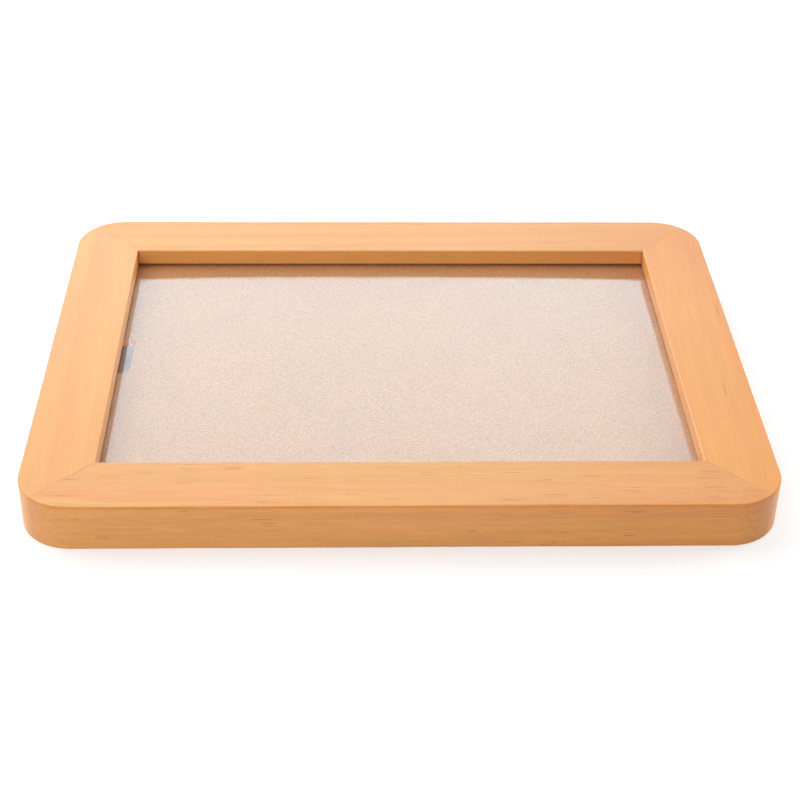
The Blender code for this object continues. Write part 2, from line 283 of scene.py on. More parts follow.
def pine_group():
    """Lacquered pine with its grain along X, and its pith on the line Y = Z = 0."""
    tree, given, out = new_group(
        "lacquered_pine",
        {
            "Place": ("Vector", None),
            "Ring Pitch": ("Float", 0.007),
            "Ring Shift": ("Float", 0.0),
            "Ring Strength": ("Float", 0.5),
            "Wander": ("Float", 0.001),
            "Streaks": ("Float", 1.0),
            "Canals": ("Float", 0.1),
            "Early Wood": ("Color", (0.765, 0.370, 0.107, 1)),
            "Pink Wood": ("Color", (0.765, 0.345, 0.108, 1)),
            "Late Wood": ("Color", (0.74, 0.255, 0.060, 1)),
            "Canal": ("Color", (0.31, 0.075, 0.014, 1)),
            "Edge": ("Color", (0.70, 0.245, 0.038, 1)),
            "Painted Light": ("Color", (0.86, 0.50, 0.20, 1)),
            "End Wood": ("Color", (0.66, 0.262, 0.100, 1)),
            # Where and how much the wood is drawn darker: a painted shade
            "Shade Start": ("Float", 0.0),
            "Shade End": ("Float", 0.1),
            "Deepen": ("Float", 0.0),
            "Arris": ("Float", 0.0),
            "Mitre": ("Float", 0.0),
            "End Grain": ("Float", 0.0),
            "Upright": ("Float", 0.0),
        },
        {"Colour": "Color", "Roughness": "Float", "Height": "Float"},
    )
    place = given["Place"]

    # Growth rings round the pith, which wander a little along the length
    across = add_node(tree, "ShaderNodeSeparateXYZ", {0: place}).outputs
    squares = calculate(tree, "MULTIPLY", across["Z"], across["Z"])
    squares = calculate(tree, "MULTIPLY_ADD", across["Y"], across["Y"], squares)
    wander = calculate(tree, "SUBTRACT", noise(tree, place, (7, 26, 26), 3), 0.5)
    radius = calculate(tree, "MULTIPLY_ADD", wander, given["Wander"], calculate(tree, "SQRT", squares))
    phase = calculate(tree, "DIVIDE", radius, given["Ring Pitch"])
    phase = calculate(tree, "ADD", phase, given["Ring Shift"])
    ring = calculate(tree, "FLOOR", phase)
    part = calculate(tree, "SUBTRACT", phase, ring)
    chance = add_node(tree, "ShaderNodeTexWhiteNoise", {"W": ring}, noise_dimensions="1D").outputs["Value"]
    slow = ramp(tree, part, 0.35, 1.0, 0.0, 0.3)
    line = ramp(tree, part, 0.90, 0.965, 0.0, 0.7)
    late = calculate(tree, "ADD", slow, line)
    late = calculate(tree, "MULTIPLY", late, ramp(tree, part, 0.975, 1.0, 1.0, 0.0))
    late = calculate(tree, "MULTIPLY", late, ramp(tree, chance, 0.0, 1.0, 0.45, 1.0))
    late = calculate(tree, "MULTIPLY", late, given["Ring Strength"])

    # Fibres, and broader bands of yellower and pinker wood
    fibres = calculate(tree, "SUBTRACT", noise(tree, place, (70, 2300, 2300), 3), 0.5)
    bands = calculate(tree, "SUBTRACT", noise(tree, place, (10, 330, 330), 3), 0.5)
    hue = ramp(tree, noise(tree, place, (8, 120, 120), 2), 0.35, 0.65)

    # Resin canals: short thin needles along the grain, in patches
    sway = calculate(tree, "SUBTRACT", noise(tree, place, (110, 260, 260), 2), 0.5)
    sway = add_node(tree, "ShaderNodeCombineXYZ", {1: calculate(tree, "MULTIPLY", sway, 0.0012)}).outputs[0]
    swaying = add_node(tree, "ShaderNodeVectorMath", {0: place, 1: sway}).outputs[0]
    spots = {"Vector": stretch(tree, swaying, (90, 4800, 4800)), "Scale": 1.0}
    needles = add_node(tree, "ShaderNodeTexVoronoi", spots).outputs
    picks = add_node(tree, "ShaderNodeSeparateColor", {0: needles["Color"]}).outputs
    patches = ramp(tree, noise(tree, place, (28, 170, 170), 2), 0.40, 0.66)
    wanted = calculate(tree, "MULTIPLY", given["Canals"], patches)
    picked = calculate(tree, "LESS_THAN", picks["Red"], wanted)
    needle = ramp(tree, needles["Distance"], 0.26, 0.44, 1.0, 0.0)
    needle = calculate(tree, "MULTIPLY", needle, picked)
    needle = calculate(tree, "MULTIPLY", needle, ramp(tree, picks["Green"], 0.2, 1.0, 0.25, 1.0))
    broken = ramp(tree, noise(tree, place, (420, 2300, 2300), 2), 0.35, 0.52, 0.35, 1.0)
    needle = calculate(tree, "MULTIPLY", needle, broken)

    # Colour: the wood, which deepens towards one end, on the near, far and right rails a painted shade
    # towards the frame's right where less sheen falls, then its late wood, its streaks, which show more
    # on upright faces, its canals and end grain, then the darker outer arrises, the painted light of
    # the sight side, the painted shade of the lip's lower arris, and the glue line
    # Painted shade: each rail darker and more orange towards one end, on the near, far and right rails
    # towards the frame's right, where less sheen falls
    deep = add_node(tree, "ShaderNodeMapRange", {"Value": across["X"]}, interpolation_type="SMOOTHSTEP")
    tree.links.new(given["Shade Start"], deep.inputs["From Min"])
    tree.links.new(given["Shade End"], deep.inputs["From Max"])
    deep = calculate(tree, "MULTIPLY", deep.outputs["Result"], given["Deepen"])
    colour = blend_colours(tree, hue, given["Early Wood"], given["Pink Wood"])
    colour = blend_colours(tree, deep, colour, (0.93, 0.80, 0.66, 1), "MULTIPLY")
    colour = blend_colours(tree, late, colour, given["Late Wood"])
    shade = calculate(tree, "MULTIPLY_ADD", fibres, 0.22, 1.0)
    shade = calculate(tree, "MULTIPLY_ADD", bands, 0.16, shade)
    shade = calculate(tree, "SUBTRACT", shade, 1.0)
    raised = calculate(tree, "MULTIPLY_ADD", given["Upright"], 0.5, 1.0)
    raised = calculate(tree, "MULTIPLY", raised, given["Streaks"])
    shade = calculate(tree, "MULTIPLY_ADD", shade, raised, 1.0)
    shade = add_node(tree, "ShaderNodeCombineXYZ", {0: shade, 1: shade, 2: shade}).outputs[0]
    colour = add_node(tree, "ShaderNodeVectorMath", {0: colour, 1: shade}, operation="MULTIPLY").outputs[0]
    colour = blend_colours(tree, needle, colour, given["Canal"])
    end = ramp(tree, given["End Grain"], 0.25, 0.85, 0.0, 0.5)
    colour = blend_colours(tree, end, colour, given["End Wood"])
    worn = ramp(tree, noise(tree, place, (110, 160, 160), 3), 0.3, 0.7, 0.45, 1.0)
    # Above 0, the darker edge colour: the lacquer's own on the outer arrises, painted shade on the lip's
    # lower arris
    edge = calculate(tree, "MULTIPLY", calculate(tree, "MAXIMUM", given["Arris"], 0.0), worn)
    colour = blend_colours(tree, edge, colour, given["Edge"])
    # Below 0, painted light: a highlight on the sight arris and a paler inner wall
    edge = calculate(tree, "MULTIPLY", calculate(tree, "MINIMUM", given["Arris"], 0.0), -0.75)
    colour = blend_colours(tree, edge, colour, given["Painted Light"])
    glue = calculate(tree, "MULTIPLY", given["Mitre"], 0.12)
    colour = blend_colours(tree, glue, colour, given["Edge"])
    tree.links.new(colour, out["Colour"])

    # The lacquer fills most of the grain, and sinks a little in the fibres and canals
    rough = calculate(tree, "MULTIPLY_ADD", fibres, 0.10, 0.30)
    rough = calculate(tree, "MULTIPLY_ADD", needle, 0.18, rough)
    tree.links.new(rough, out["Roughness"])
    height = calculate(tree, "MULTIPLY_ADD", needle, -1.0, fibres)
    height = calculate(tree, "MULTIPLY_ADD", bands, 0.8, height)
    tree.links.new(height, out["Height"])
    return tree


PINE = pine_group()


def new_material(name):
    """A material with nodes: itself, its tree and its shader."""
    material = bpy.data.materials.new(name)
    material.use_nodes = True
    return material, material.node_tree, material.node_tree.nodes["Principled BSDF"]


def pine_material(name, turn, pith, **values):
    """Lacquered pine for one rail: the turn brings its length to X, and the pith is the log's."""
    material, tree, surface = new_material(name)
    place = add_node(tree, "ShaderNodeTexCoord").outputs["Object"]
    turned = add_node(tree, "ShaderNodeMapping", {"Vector": place, "Rotation": (0, 0, math.radians(turn))})
    inputs = {0: turned.outputs[0], 1: pith}
    grain_place = add_node(tree, "ShaderNodeVectorMath", inputs, operation="SUBTRACT").outputs[0]
    wood = add_node(tree, "ShaderNodeGroup", node_tree=PINE)
    tree.links.new(grain_place, wood.inputs["Place"])
    for label, value in values.items():
        wood.inputs[label.replace("_", " ").title()].default_value = value
    for label in ("arris", "mitre"):
        mask = add_node(tree, "ShaderNodeAttribute", attribute_name=label).outputs["Fac"]
        tree.links.new(mask, wood.inputs[label.title()])
    facing = add_node(tree, "ShaderNodeTexCoord").outputs["Normal"]
    facing = {"Vector": facing, "Rotation": (0, 0, math.radians(turn))}
    facing = add_node(tree, "ShaderNodeMapping", facing, vector_type="VECTOR").outputs[0]
    facing = add_node(tree, "ShaderNodeSeparateXYZ", {0: facing}).outputs
    tree.links.new(calculate(tree, "ABSOLUTE", facing["X"]), wood.inputs["End Grain"])
    flat = calculate(tree, "ABSOLUTE", facing["Z"])
    tree.links.new(calculate(tree, "SUBTRACT", 1.0, flat), wood.inputs["Upright"])
    bump = add_node(tree, "ShaderNodeBump", {"Height": wood.outputs["Height"], "Distance": 0.00003})
    bump.inputs["Strength"].default_value = 0.5
    tree.links.new(wood.outputs["Colour"], surface.inputs["Base Color"])
    tree.links.new(wood.outputs["Roughness"], surface.inputs["Roughness"])
    tree.links.new(bump.outputs["Normal"], surface.inputs["Normal"])
    surface.inputs["Specular IOR Level"].default_value = 0.29
    return material


def add_piece(name, mesh, material, body, nodes):
    """Put a piece in the scene in place of its CAD nodes."""
    if not mesh.materials:
        mesh.materials.append(material)
    piece = bpy.data.objects.new(name, mesh)
    bpy.context.scene.collection.objects.link(piece)
    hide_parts(*nodes)
    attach(piece, body)
    return piece


# Shade start, shade end and painted shade set where each rail is drawn darker: a painted shade, on the
# near, far and right rails towards the frame's right, where less sheen falls
RAIL_WOOD = {
    "near": dict(turn=0.6, pith=(0.03, -0.052, -0.085), ring_pitch=0.0075, ring_shift=0.30,
                 ring_strength=0.35, wander=0.006, canals=0.20, streaks=1.1,
                 early_wood=(0.765, 0.358, 0.110, 1), pink_wood=(0.765, 0.334, 0.112, 1),
                 shade_start=-0.02, shade_end=0.08, deepen=0.55),
    "far": dict(turn=-1.23, pith=(0.40, 0.010, 0.012), ring_pitch=0.0072, ring_shift=0.42,
                ring_strength=0.75, wander=0.0012, canals=0.02, streaks=0.8,
                early_wood=(0.80, 0.373, 0.098, 1), pink_wood=(0.80, 0.350, 0.097, 1),
                shade_start=-0.38, shade_end=-0.30, deepen=0.9),
    "left": dict(turn=89.0, pith=(0.70, 0.150, -0.02), ring_pitch=0.0090, ring_shift=0.10,
                 ring_strength=0.30, wander=0.006, canals=0.01, streaks=0.6,
                 early_wood=(0.82, 0.402, 0.124, 1), pink_wood=(0.82, 0.365, 0.120, 1),
                 shade_start=-0.70, shade_end=-0.63, deepen=0.5),
    "right": dict(turn=91.0, pith=(-0.50, -0.160, -0.03), ring_pitch=0.0085, ring_shift=0.70,
                  ring_strength=0.35, wander=0.007, canals=0.05, streaks=1.1,
                  early_wood=(0.80, 0.331, 0.082, 1), pink_wood=(0.80, 0.304, 0.078, 1),
                  shade_start=0.48, shade_end=0.43, deepen=0.3),
}
for side, wood in RAIL_WOOD.items():
    add_piece(
        side + "_rail_moulding",
        moulding_mesh(side + "_rail_moulding", side),
        pine_material(side + "_rail_pine", **wood),
        "frame",
        [side + "_rail"],
    )


# Clear sheet. It is 0.8 mm of clear plastic, laid in the front of the rebate against the back of
# the lip. It is thin enough to bow: its middle lies at the lip, and its left end and its far right
# corner sag.

SHEET_LENGTH = 0.1780
SHEET_HEIGHT = 0.1270
SHEET_THICKNESS = 0.0008
SHEET_GAP = 0.00005
SHEET_SAG = 0.00058
SHEET_COLUMNS = 48
SHEET_ROWS = 36

sheet_shell = bmesh.new()
rows = []
for row in range(SHEET_ROWS + 1):
    for drop in (0, SHEET_THICKNESS):
        line = []
        for column in range(SHEET_COLUMNS + 1):
            across = 2 * column / SHEET_COLUMNS - 1
            up = 2 * row / SHEET_ROWS - 1
            sag = across**4 if across < 0 else across**2 * (1 + up) / 2
            height = LIP_BACK - SHEET_GAP - SHEET_SAG * sag - drop
            line.append(sheet_shell.verts.new((across * SHEET_LENGTH / 2, up * SHEET_HEIGHT / 2, height)))
        rows.append(line)
for row in range(SHEET_ROWS):
    for column in range(SHEET_COLUMNS):
        for side in (0, 1):
            low, high = rows[2 * row + side], rows[2 * row + 2 + side]
            sheet_shell.faces.new((low[column], low[column + 1], high[column + 1], high[column]))
for front, back in ((rows[0], rows[1]), (rows[-2], rows[-1])):
    for column in range(SHEET_COLUMNS):
        sheet_shell.faces.new((front[column], front[column + 1], back[column + 1], back[column]))
for end in (0, -1):
    for row in range(SHEET_ROWS):
        front, back = rows[2 * row], rows[2 * row + 1]
        next_front, next_back = rows[2 * row + 2], rows[2 * row + 3]
        sheet_shell.faces.new((front[end], next_front[end], next_back[end], back[end]))
sheet_mesh = shell_mesh("bowed_clear_sheet", sheet_shell)

# Light on its way to the board passes straight through the sheet
clear_plastic, tree, pane = new_material("clear_plastic")
pane.inputs["Base Color"].default_value = (0.98, 0.985, 0.99, 1)
pane.inputs["Transmission Weight"].default_value = 1.0
pane.inputs["IOR"].default_value = 1.5
place = add_node(tree, "ShaderNodeTexCoord").outputs["Object"]
smears = ramp(tree, noise(tree, place, (22, 60, 60), 4), 0.45, 0.75, 0.0, 0.03)
tree.links.new(smears, pane.inputs["Roughness"])
clear = add_node(tree, "ShaderNodeBsdfTransparent")
ray = add_node(tree, "ShaderNodeLightPath").outputs
passing = calculate(tree, "MAXIMUM", ray["Is Shadow Ray"], ray["Is Diffuse Ray"])
passed = add_node(tree, "ShaderNodeMixShader", {0: passing, 1: pane.outputs[0], 2: clear.outputs[0]})
tree.links.new(passed.outputs[0], tree.nodes["Material Output"].inputs["Surface"])
add_piece("bowed_clear_sheet", sheet_mesh, clear_plastic, "frame", ["clear_sheet"])


# Backing board. Three millimetres of bare brown fibreboard, pressed flat, with a finger notch
# punched in its left edge. It lies on the back of the sheet, and the turn buttons hold it in. Its
# shape is the solid's own.

board, tree, fibre = new_material("brown_fibreboard")
fibre.inputs["Specular IOR Level"].default_value = 0.2
place = add_node(tree, "ShaderNodeTexCoord").outputs["Object"]
cloud = ramp(tree, noise(tree, place, (45, 45, 45), 3), 0.3, 0.7)
pulp = calculate(tree, "SUBTRACT", noise(tree, place, (1000, 1300, 1300), 3), 0.5)
grit = calculate(tree, "SUBTRACT", noise(tree, place, (2400, 2400, 2400), 1), 0.5)
grain = calculate(tree, "MULTIPLY_ADD", pulp, 0.5, grit)
colour = blend_colours(tree, cloud, (0.570, 0.300, 0.142, 1), (0.598, 0.305, 0.142, 1))
facing = add_node(tree, "ShaderNodeTexCoord").outputs["Normal"]
facing = add_node(tree, "ShaderNodeSeparateXYZ", {0: facing}).outputs["Z"]
contrast = ramp(tree, facing, 0.0, 1.0, 1.4, 1.3)
shade = calculate(tree, "MULTIPLY_ADD", grain, contrast, 1.0)
# Painted light: the upright cut edges, such as the notch's, are drawn 1.6 times brighter
painted_light_on_cut_edges = ramp(tree, calculate(tree, "ABSOLUTE", facing), 0.3, 0.7, 1.6, 1.0)
shade = calculate(tree, "MULTIPLY", shade, painted_light_on_cut_edges)
shade = add_node(tree, "ShaderNodeCombineXYZ", {0: shade, 1: shade, 2: shade}).outputs[0]
colour = add_node(tree, "ShaderNodeVectorMath", {0: colour, 1: shade}, operation="MULTIPLY").outputs[0]
spots = {"Vector": stretch(tree, place, (420, 480, 450)), "Scale": 1.0}
flecks = add_node(tree, "ShaderNodeTexVoronoi", spots).outputs
picks = add_node(tree, "ShaderNodeSeparateColor", {0: flecks["Color"]}).outputs
fleck = ramp(tree, flecks["Distance"], 0.08, 0.20, 0.45, 0.0)
dark = calculate(tree, "MULTIPLY", fleck, calculate(tree, "GREATER_THAN", picks["Red"], 0.88))
pale = calculate(tree, "MULTIPLY", fleck, calculate(tree, "LESS_THAN", picks["Red"], 0.05))
colour = blend_colours(tree, dark, colour, (0.12, 0.06, 0.035, 1))
colour = blend_colours(tree, pale, colour, (0.80, 0.62, 0.46, 1))
tree.links.new(colour, fibre.inputs["Base Color"])
tree.links.new(ramp(tree, pulp, -0.3, 0.3, 0.78, 0.95), fibre.inputs["Roughness"])
bump = add_node(tree, "ShaderNodeBump", {"Height": pulp, "Distance": 0.00003, "Strength": 0.2})
tree.links.new(bump.outputs["Normal"], fibre.inputs["Normal"])
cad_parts["backing_board"].data.materials.clear()
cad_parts["backing_board"].data.materials.append(board)


# Corner fasteners. A V of thin bare steel is pressed across the back of each glued mitre. It sinks
# just below the ledge, in the kerf that it cut.

VNAIL_LEG = 0.0045
VNAIL_DEPTH = 0.0070
VNAIL_SHEET = 0.0005
VNAIL_SINK = 0.0003
KERF_ROOM = 0.00006
VNAIL_APEX_X = 0.0963
VNAIL_APEX_Y = 0.0708
VNAIL_PLACES = {
    "far_right": (VNAIL_APEX_X, VNAIL_APEX_Y, 0),
    "far_left": (-VNAIL_APEX_X, VNAIL_APEX_Y, 90),
    "near_left": (-VNAIL_APEX_X, -VNAIL_APEX_Y, 180),
    "near_right": (VNAIL_APEX_X, -VNAIL_APEX_Y, 270),
}


def fastener_tree(name, sizes):
    """A tree that takes places and named sizes, and what it is given and gives out."""
    tree = bpy.data.node_groups.new(name, "GeometryNodeTree")
    tree.interface.new_socket("Places", in_out="INPUT", socket_type="NodeSocketGeometry")
    tree.interface.new_socket("Pieces", in_out="OUTPUT", socket_type="NodeSocketGeometry")
    tree.interface.new_socket("Material", in_out="INPUT", socket_type="NodeSocketMaterial")
    for label in sizes:
        tree.interface.new_socket(label, in_out="INPUT", socket_type="NodeSocketFloat")
    return tree, tree.nodes.new("NodeGroupInput").outputs, tree.nodes.new("NodeGroupOutput").inputs


def moved(tree, geometry, **place):
    """The geometry moved, turned or scaled; each is three numbers or a link."""
    inputs = {"Geometry": geometry}
    for key, value in place.items():
        if isinstance(value, (tuple, list)) and any(isinstance(v, bpy.types.NodeSocket) for v in value):
            value = add_node(tree, "ShaderNodeCombineXYZ", dict(enumerate(value))).outputs[0]
        inputs[key.title()] = value
    return add_node(tree, "GeometryNodeTransform", inputs).outputs[0]


def combine_solids(tree, operation, solids, cutters=()):
    """Unite or intersect the solids, or cut the cutters out of the first one."""
    made = add_node(tree, "GeometryNodeMeshBoolean", operation=operation, solver="EXACT")
    made.inputs["Self Intersection"].default_value = True
    if operation == "DIFFERENCE":
        tree.links.new(solids[0], made.inputs[0])
        solids = cutters
    for solid in solids:
        tree.links.new(solid, made.inputs[1])
    return made.outputs["Mesh"]


def set_out(tree, given, out, piece):
    """Put the piece at each place, at the place's own turn, and end in plain geometry."""
    turn = add_node(tree, "GeometryNodeInputNamedAttribute", {"Name": "turn"}, data_type="FLOAT")
    turn = add_node(tree, "ShaderNodeCombineXYZ", {2: turn.outputs["Attribute"]}).outputs[0]
    inputs = {"Points": given["Places"], "Instance": piece, "Rotation": turn}
    copies = add_node(tree, "GeometryNodeInstanceOnPoints", inputs).outputs[0]
    real = add_node(tree, "GeometryNodeRealizeInstances", {"Geometry": copies}).outputs[0]
    inputs = {"Geometry": real, "Material": given["Material"]}
    coated = add_node(tree, "GeometryNodeSetMaterial", inputs).outputs[0]
    tree.links.new(coated, out["Pieces"])


def merge_corners(mesh):
    """Close the slivers that a Boolean leaves, whose corners are all but in the same place."""
    shell = bmesh.new()
    shell.from_mesh(mesh)
    bmesh.ops.remove_doubles(shell, verts=shell.verts, dist=SAME_PLACE)
    shell.to_mesh(mesh)
    shell.free()
    mesh.validate()
    mesh.shade_smooth()
    mesh.set_sharp_from_angle(angle=SHARP_BEND)


def run_tree(name, tree, start, material, sizes):
    """Run a tree on a starting mesh, with its sizes, and give back one plain mesh."""
    holder = bpy.data.objects.new(name + "_holder", start)
    bpy.context.scene.collection.objects.link(holder)
    maker = holder.modifiers.new("made", "NODES")
    maker.node_group = tree
    values = dict(sizes, Material=material)
    for socket in tree.interface.items_tree:
        if socket.in_out == "INPUT" and socket.name in values:
            maker[socket.identifier] = values[socket.name]
    seen = holder.evaluated_get(bpy.context.evaluated_depsgraph_get())
    mesh = bpy.data.meshes.new_from_object(seen)
    mesh.name = name
    holder.modifiers.remove(maker)
    bpy.data.objects.remove(holder)
    merge_corners(mesh)
    return mesh


def points_mesh(name, places):
    """Loose points, each with the turn in degrees of what stands on it."""
    mesh = bpy.data.meshes.new(name)
    mesh.from_pydata([place[:3] for place in places], [], [])
    turns = mesh.attributes.new("turn", "FLOAT", "POINT")
    turns.data.foreach_set("value", [math.radians(place[3]) for place in places])
    return mesh


def plating_group():
    """Thin plating on steel: cloudy, lightly scratched, and duller where hands and tools rub it."""
    tree, given, out = new_group(
        "steel_plating",
        {
            "Place": ("Vector", None),
            "Bright": ("Color", (0.58, 0.56, 0.52, 1)),
            "Dull": ("Color", (0.38, 0.365, 0.34, 1)),
            "Stain": ("Color", (0.30, 0.22, 0.14, 1)),
            "Stained": ("Float", 0.2),
            "Smooth": ("Float", 0.26),
            "Matt": ("Float", 0.42),
        },
        {"Colour": "Color", "Roughness": "Float", "Height": "Float"},
    )
    place = given["Place"]
    cloud = ramp(tree, noise(tree, place, (480, 480, 480), 4), 0.30, 0.70)
    rolled = noise(tree, place, (260, 5200, 5200), 2)
    crossed = noise(tree, place, (4300, 380, 4300), 2)
    rolled = ramp(tree, rolled, 0.62, 0.80)
    crossed = ramp(tree, crossed, 0.68, 0.84)
    scratch = calculate(tree, "MAXIMUM", rolled, crossed)
    spots = ramp(tree, noise(tree, place, (900, 900, 900), 5), 0.62, 0.80)
    spots = calculate(tree, "MULTIPLY", spots, given["Stained"])
    colour = blend_colours(tree, cloud, given["Dull"], given["Bright"])
    colour = blend_colours(tree, calculate(tree, "MULTIPLY", scratch, 0.35), colour, given["Bright"])
    colour = blend_colours(tree, spots, colour, given["Stain"])
    tree.links.new(colour, out["Colour"])
    span = calculate(tree, "SUBTRACT", given["Smooth"], given["Matt"])
    rough = calculate(tree, "MULTIPLY_ADD", cloud, span, given["Matt"])
    rough = calculate(tree, "MULTIPLY_ADD", spots, 0.3, rough)
    tree.links.new(rough, out["Roughness"])
    height = calculate(tree, "MULTIPLY_ADD", scratch, -0.6, calculate(tree, "MULTIPLY", cloud, 0.6))
    tree.links.new(height, out["Height"])
    return tree


PLATING = plating_group()


def steel_material(name, turn=0, **values):
    """Steel with its own plating; the turn brings the rolling direction to X."""
    material, tree, metal = new_material(name)
    metal.inputs["Metallic"].default_value = 1.0
    place = add_node(tree, "ShaderNodeTexCoord").outputs["Object"]
    turned = add_node(tree, "ShaderNodeMapping", {"Vector": place, "Rotation": (0, 0, math.radians(turn))})
    plating = add_node(tree, "ShaderNodeGroup", node_tree=PLATING)
    tree.links.new(turned.outputs[0], plating.inputs["Place"])
    for label, value in values.items():
        plating.inputs[label.title()].default_value = value
    inputs = {"Height": plating.outputs["Height"], "Distance": 0.00002, "Strength": 0.5}
    bump = add_node(tree, "ShaderNodeBump", inputs)
    tree.links.new(plating.outputs["Colour"], metal.inputs["Base Color"])
    tree.links.new(plating.outputs["Roughness"], metal.inputs["Roughness"])
    tree.links.new(bump.outputs["Normal"], metal.inputs["Normal"])
    return material


def v_nail_tree():
    """Two legs of sheet that meet at the place, and run from it towards -X and -Y."""
    tree, given, out = fastener_tree("v_nail", ("Leg", "Depth", "Sheet"))
    size = {0: given["Leg"], 1: given["Leg"], 2: given["Depth"]}
    size = add_node(tree, "ShaderNodeCombineXYZ", size).outputs[0]
    block = add_node(tree, "GeometryNodeMeshCube", {"Size": size}).outputs["Mesh"]
    back = calculate(tree, "MULTIPLY", given["Leg"], -0.5)
    up = calculate(tree, "MULTIPLY", given["Depth"], 0.5)
    inside = calculate(tree, "SUBTRACT", back, given["Sheet"])
    cut = moved(tree, block, translation=(inside, inside, up), scale=(1.0, 1.0, 2.0))
    block = moved(tree, block, translation=(back, back, up))
    set_out(tree, given, out, combine_solids(tree, "DIFFERENCE", [block], [cut]))
    return tree


bare_steel = steel_material(
    "bare_steel",
    bright=(0.50, 0.49, 0.47, 1),
    dull=(0.30, 0.29, 0.28, 1),
    smooth=0.32,
    matt=0.5,
    stained=0.4,
)
V_NAIL_TREE = v_nail_tree()
nail_ends = []
kerf_ends = []
for x, y, turn in VNAIL_PLACES.values():
    away = Matrix.Rotation(math.radians(turn), 3, "Z") @ Vector((KERF_ROOM, KERF_ROOM, 0))
    nail_ends.append((x, y, HARDWARE_DEPTH + VNAIL_SINK, turn))
    kerf_ends.append((x + away.x, y + away.y, HARDWARE_DEPTH - VNAIL_SINK, turn))
v_nail_mesh = run_tree(
    "v_nails",
    V_NAIL_TREE,
    points_mesh("v_nail_places", nail_ends),
    bare_steel,
    {"Leg": VNAIL_LEG, "Depth": VNAIL_DEPTH, "Sheet": VNAIL_SHEET},
)
add_piece(
    "v_nails",
    v_nail_mesh,
    bare_steel,
    "frame",
    ["v_nail_" + corner for corner in VNAIL_PLACES],
)

# Each nail's kerf is cut in the two rails that it joins
kerf_mesh = run_tree(
    "kerfs",
    V_NAIL_TREE,
    points_mesh("kerf_places", kerf_ends),
    bare_steel,
    {
        "Leg": VNAIL_LEG + 2 * KERF_ROOM,
        "Depth": VNAIL_DEPTH + 2 * VNAIL_SINK + KERF_ROOM,
        "Sheet": VNAIL_SHEET + 2 * KERF_ROOM,
    },
)
kerfs = bpy.data.objects.new("kerfs", kerf_mesh)
bpy.context.scene.collection.objects.link(kerfs)
for side in SIDES:
    rail = bpy.data.objects[side + "_rail_moulding"]
    saw = rail.modifiers.new("kerf", "BOOLEAN")
    saw.operation = "DIFFERENCE"
    saw.solver = "EXACT"
    saw.object = kerfs
    seen = rail.evaluated_get(bpy.context.evaluated_depsgraph_get())
    cut_rail = bpy.data.meshes.new_from_object(seen)
    cut_rail.name = side + "_rail_moulding"
    merge_corners(cut_rail)
    rail.modifiers.remove(saw)
    rail.data = cut_rail
bpy.data.objects.remove(kerfs)


# Turn buttons. Each is pressed from 1 mm plated strip: a round heel pierced for its screw, and a
# tongue whose nose is bent off the board. Two on each long rail hold the board in.

BUTTON_WIDTH = 0.0074
BUTTON_REACH = 0.0115
BUTTON_TIP_RADIUS = 0.0030
BUTTON_SHEET = 0.0010
BUTTON_NOSE = 0.0036
BUTTON_NOSE_RAISE = 0.0009
BUTTON_NOSE_SOFTNESS = 0.15
BUTTON_HOLE = 0.0015
ROLLED_EDGE = 0.00025
BURRED_EDGE = 0.00008
BUTTON_SHARP_BEND = math.radians(40)
BUTTON_RINGS = 12
BUTTON_EDGE_STEPS = 3
BUTTON_ROUND_STEPS = 24
BUTTON_TAPER_STEPS = 8
BUTTON_ALONG = 0.05106
LEDGE_MIDDLE = 0.0112
HARDWARE_SEAT = 0.0046


def button_section(reach):
    """Round the sheet on one ray, from the hole to the outline: (distance, depth) of each point."""
    quarter = [math.pi / 2 * step / BUTTON_EDGE_STEPS for step in range(BUTTON_EDGE_STEPS + 1)]
    steps = [step / BUTTON_RINGS for step in range(1, BUTTON_RINGS)]
    start, end = BUTTON_HOLE, reach
    small, roll, deep = BURRED_EDGE, ROLLED_EDGE, BUTTON_SHEET
    loop = [(start + small * (1 - math.cos(a)), small * (1 - math.sin(a))) for a in quarter]
    loop += [(start + small + (end - start - 2 * small) * step, 0) for step in steps]
    loop += [(end - small * (1 - math.sin(a)), small * (1 - math.cos(a))) for a in quarter]
    loop += [(end - roll * (1 - math.cos(a)), deep - roll * (1 - math.sin(a))) for a in quarter]
    loop += [(end - roll - (end - start - 2 * roll) * step, deep) for step in steps]
    loop += [(start + roll * (1 - math.sin(a)), deep - roll * (1 - math.cos(a))) for a in quarter]
    return loop


def turn_button_mesh(name):
    """A turn button along +Y, its pivot on the origin and its seat on z = 0."""
    heel = BUTTON_WIDTH / 2
    tip = BUTTON_REACH - BUTTON_TIP_RADIUS
    half_turn = [math.pi * step / BUTTON_ROUND_STEPS for step in range(BUTTON_ROUND_STEPS + 1)]
    outline = [(heel * math.cos(a + math.pi), heel * math.sin(a + math.pi)) for a in half_turn]
    taper = []
    for step in range(1, BUTTON_TAPER_STEPS):
        share = step / BUTTON_TAPER_STEPS
        taper.append((heel + (BUTTON_TIP_RADIUS - heel) * share, tip * share))
    outline += taper
    outline += [(BUTTON_TIP_RADIUS * math.cos(a), tip + BUTTON_TIP_RADIUS * math.sin(a)) for a in half_turn]
    outline += [(-x, y) for x, y in reversed(taper)]
    shell = bmesh.new()
    rays = []
    for x, y in outline:
        reach = math.hypot(x, y)
        ray = []
        for distance, depth in button_section(reach):
            along = distance * y / reach
            bend = max(0, along - (BUTTON_REACH - BUTTON_NOSE)) / BUTTON_NOSE
            raised = (1 + BUTTON_NOSE_SOFTNESS) * bend**2 / (bend + BUTTON_NOSE_SOFTNESS)
            raised *= BUTTON_NOSE_RAISE
            ray.append(shell.verts.new((distance * x / reach, along, -depth - raised)))
        rays.append(ray)
    for ray, next_ray in zip(rays, rays[1:] + rays[:1]):
        for step in range(len(ray)):
            after = (step + 1) % len(ray)
            shell.faces.new((ray[step], ray[after], next_ray[after], next_ray[step]))
    return shell_mesh(name, shell, BUTTON_SHARP_BEND)


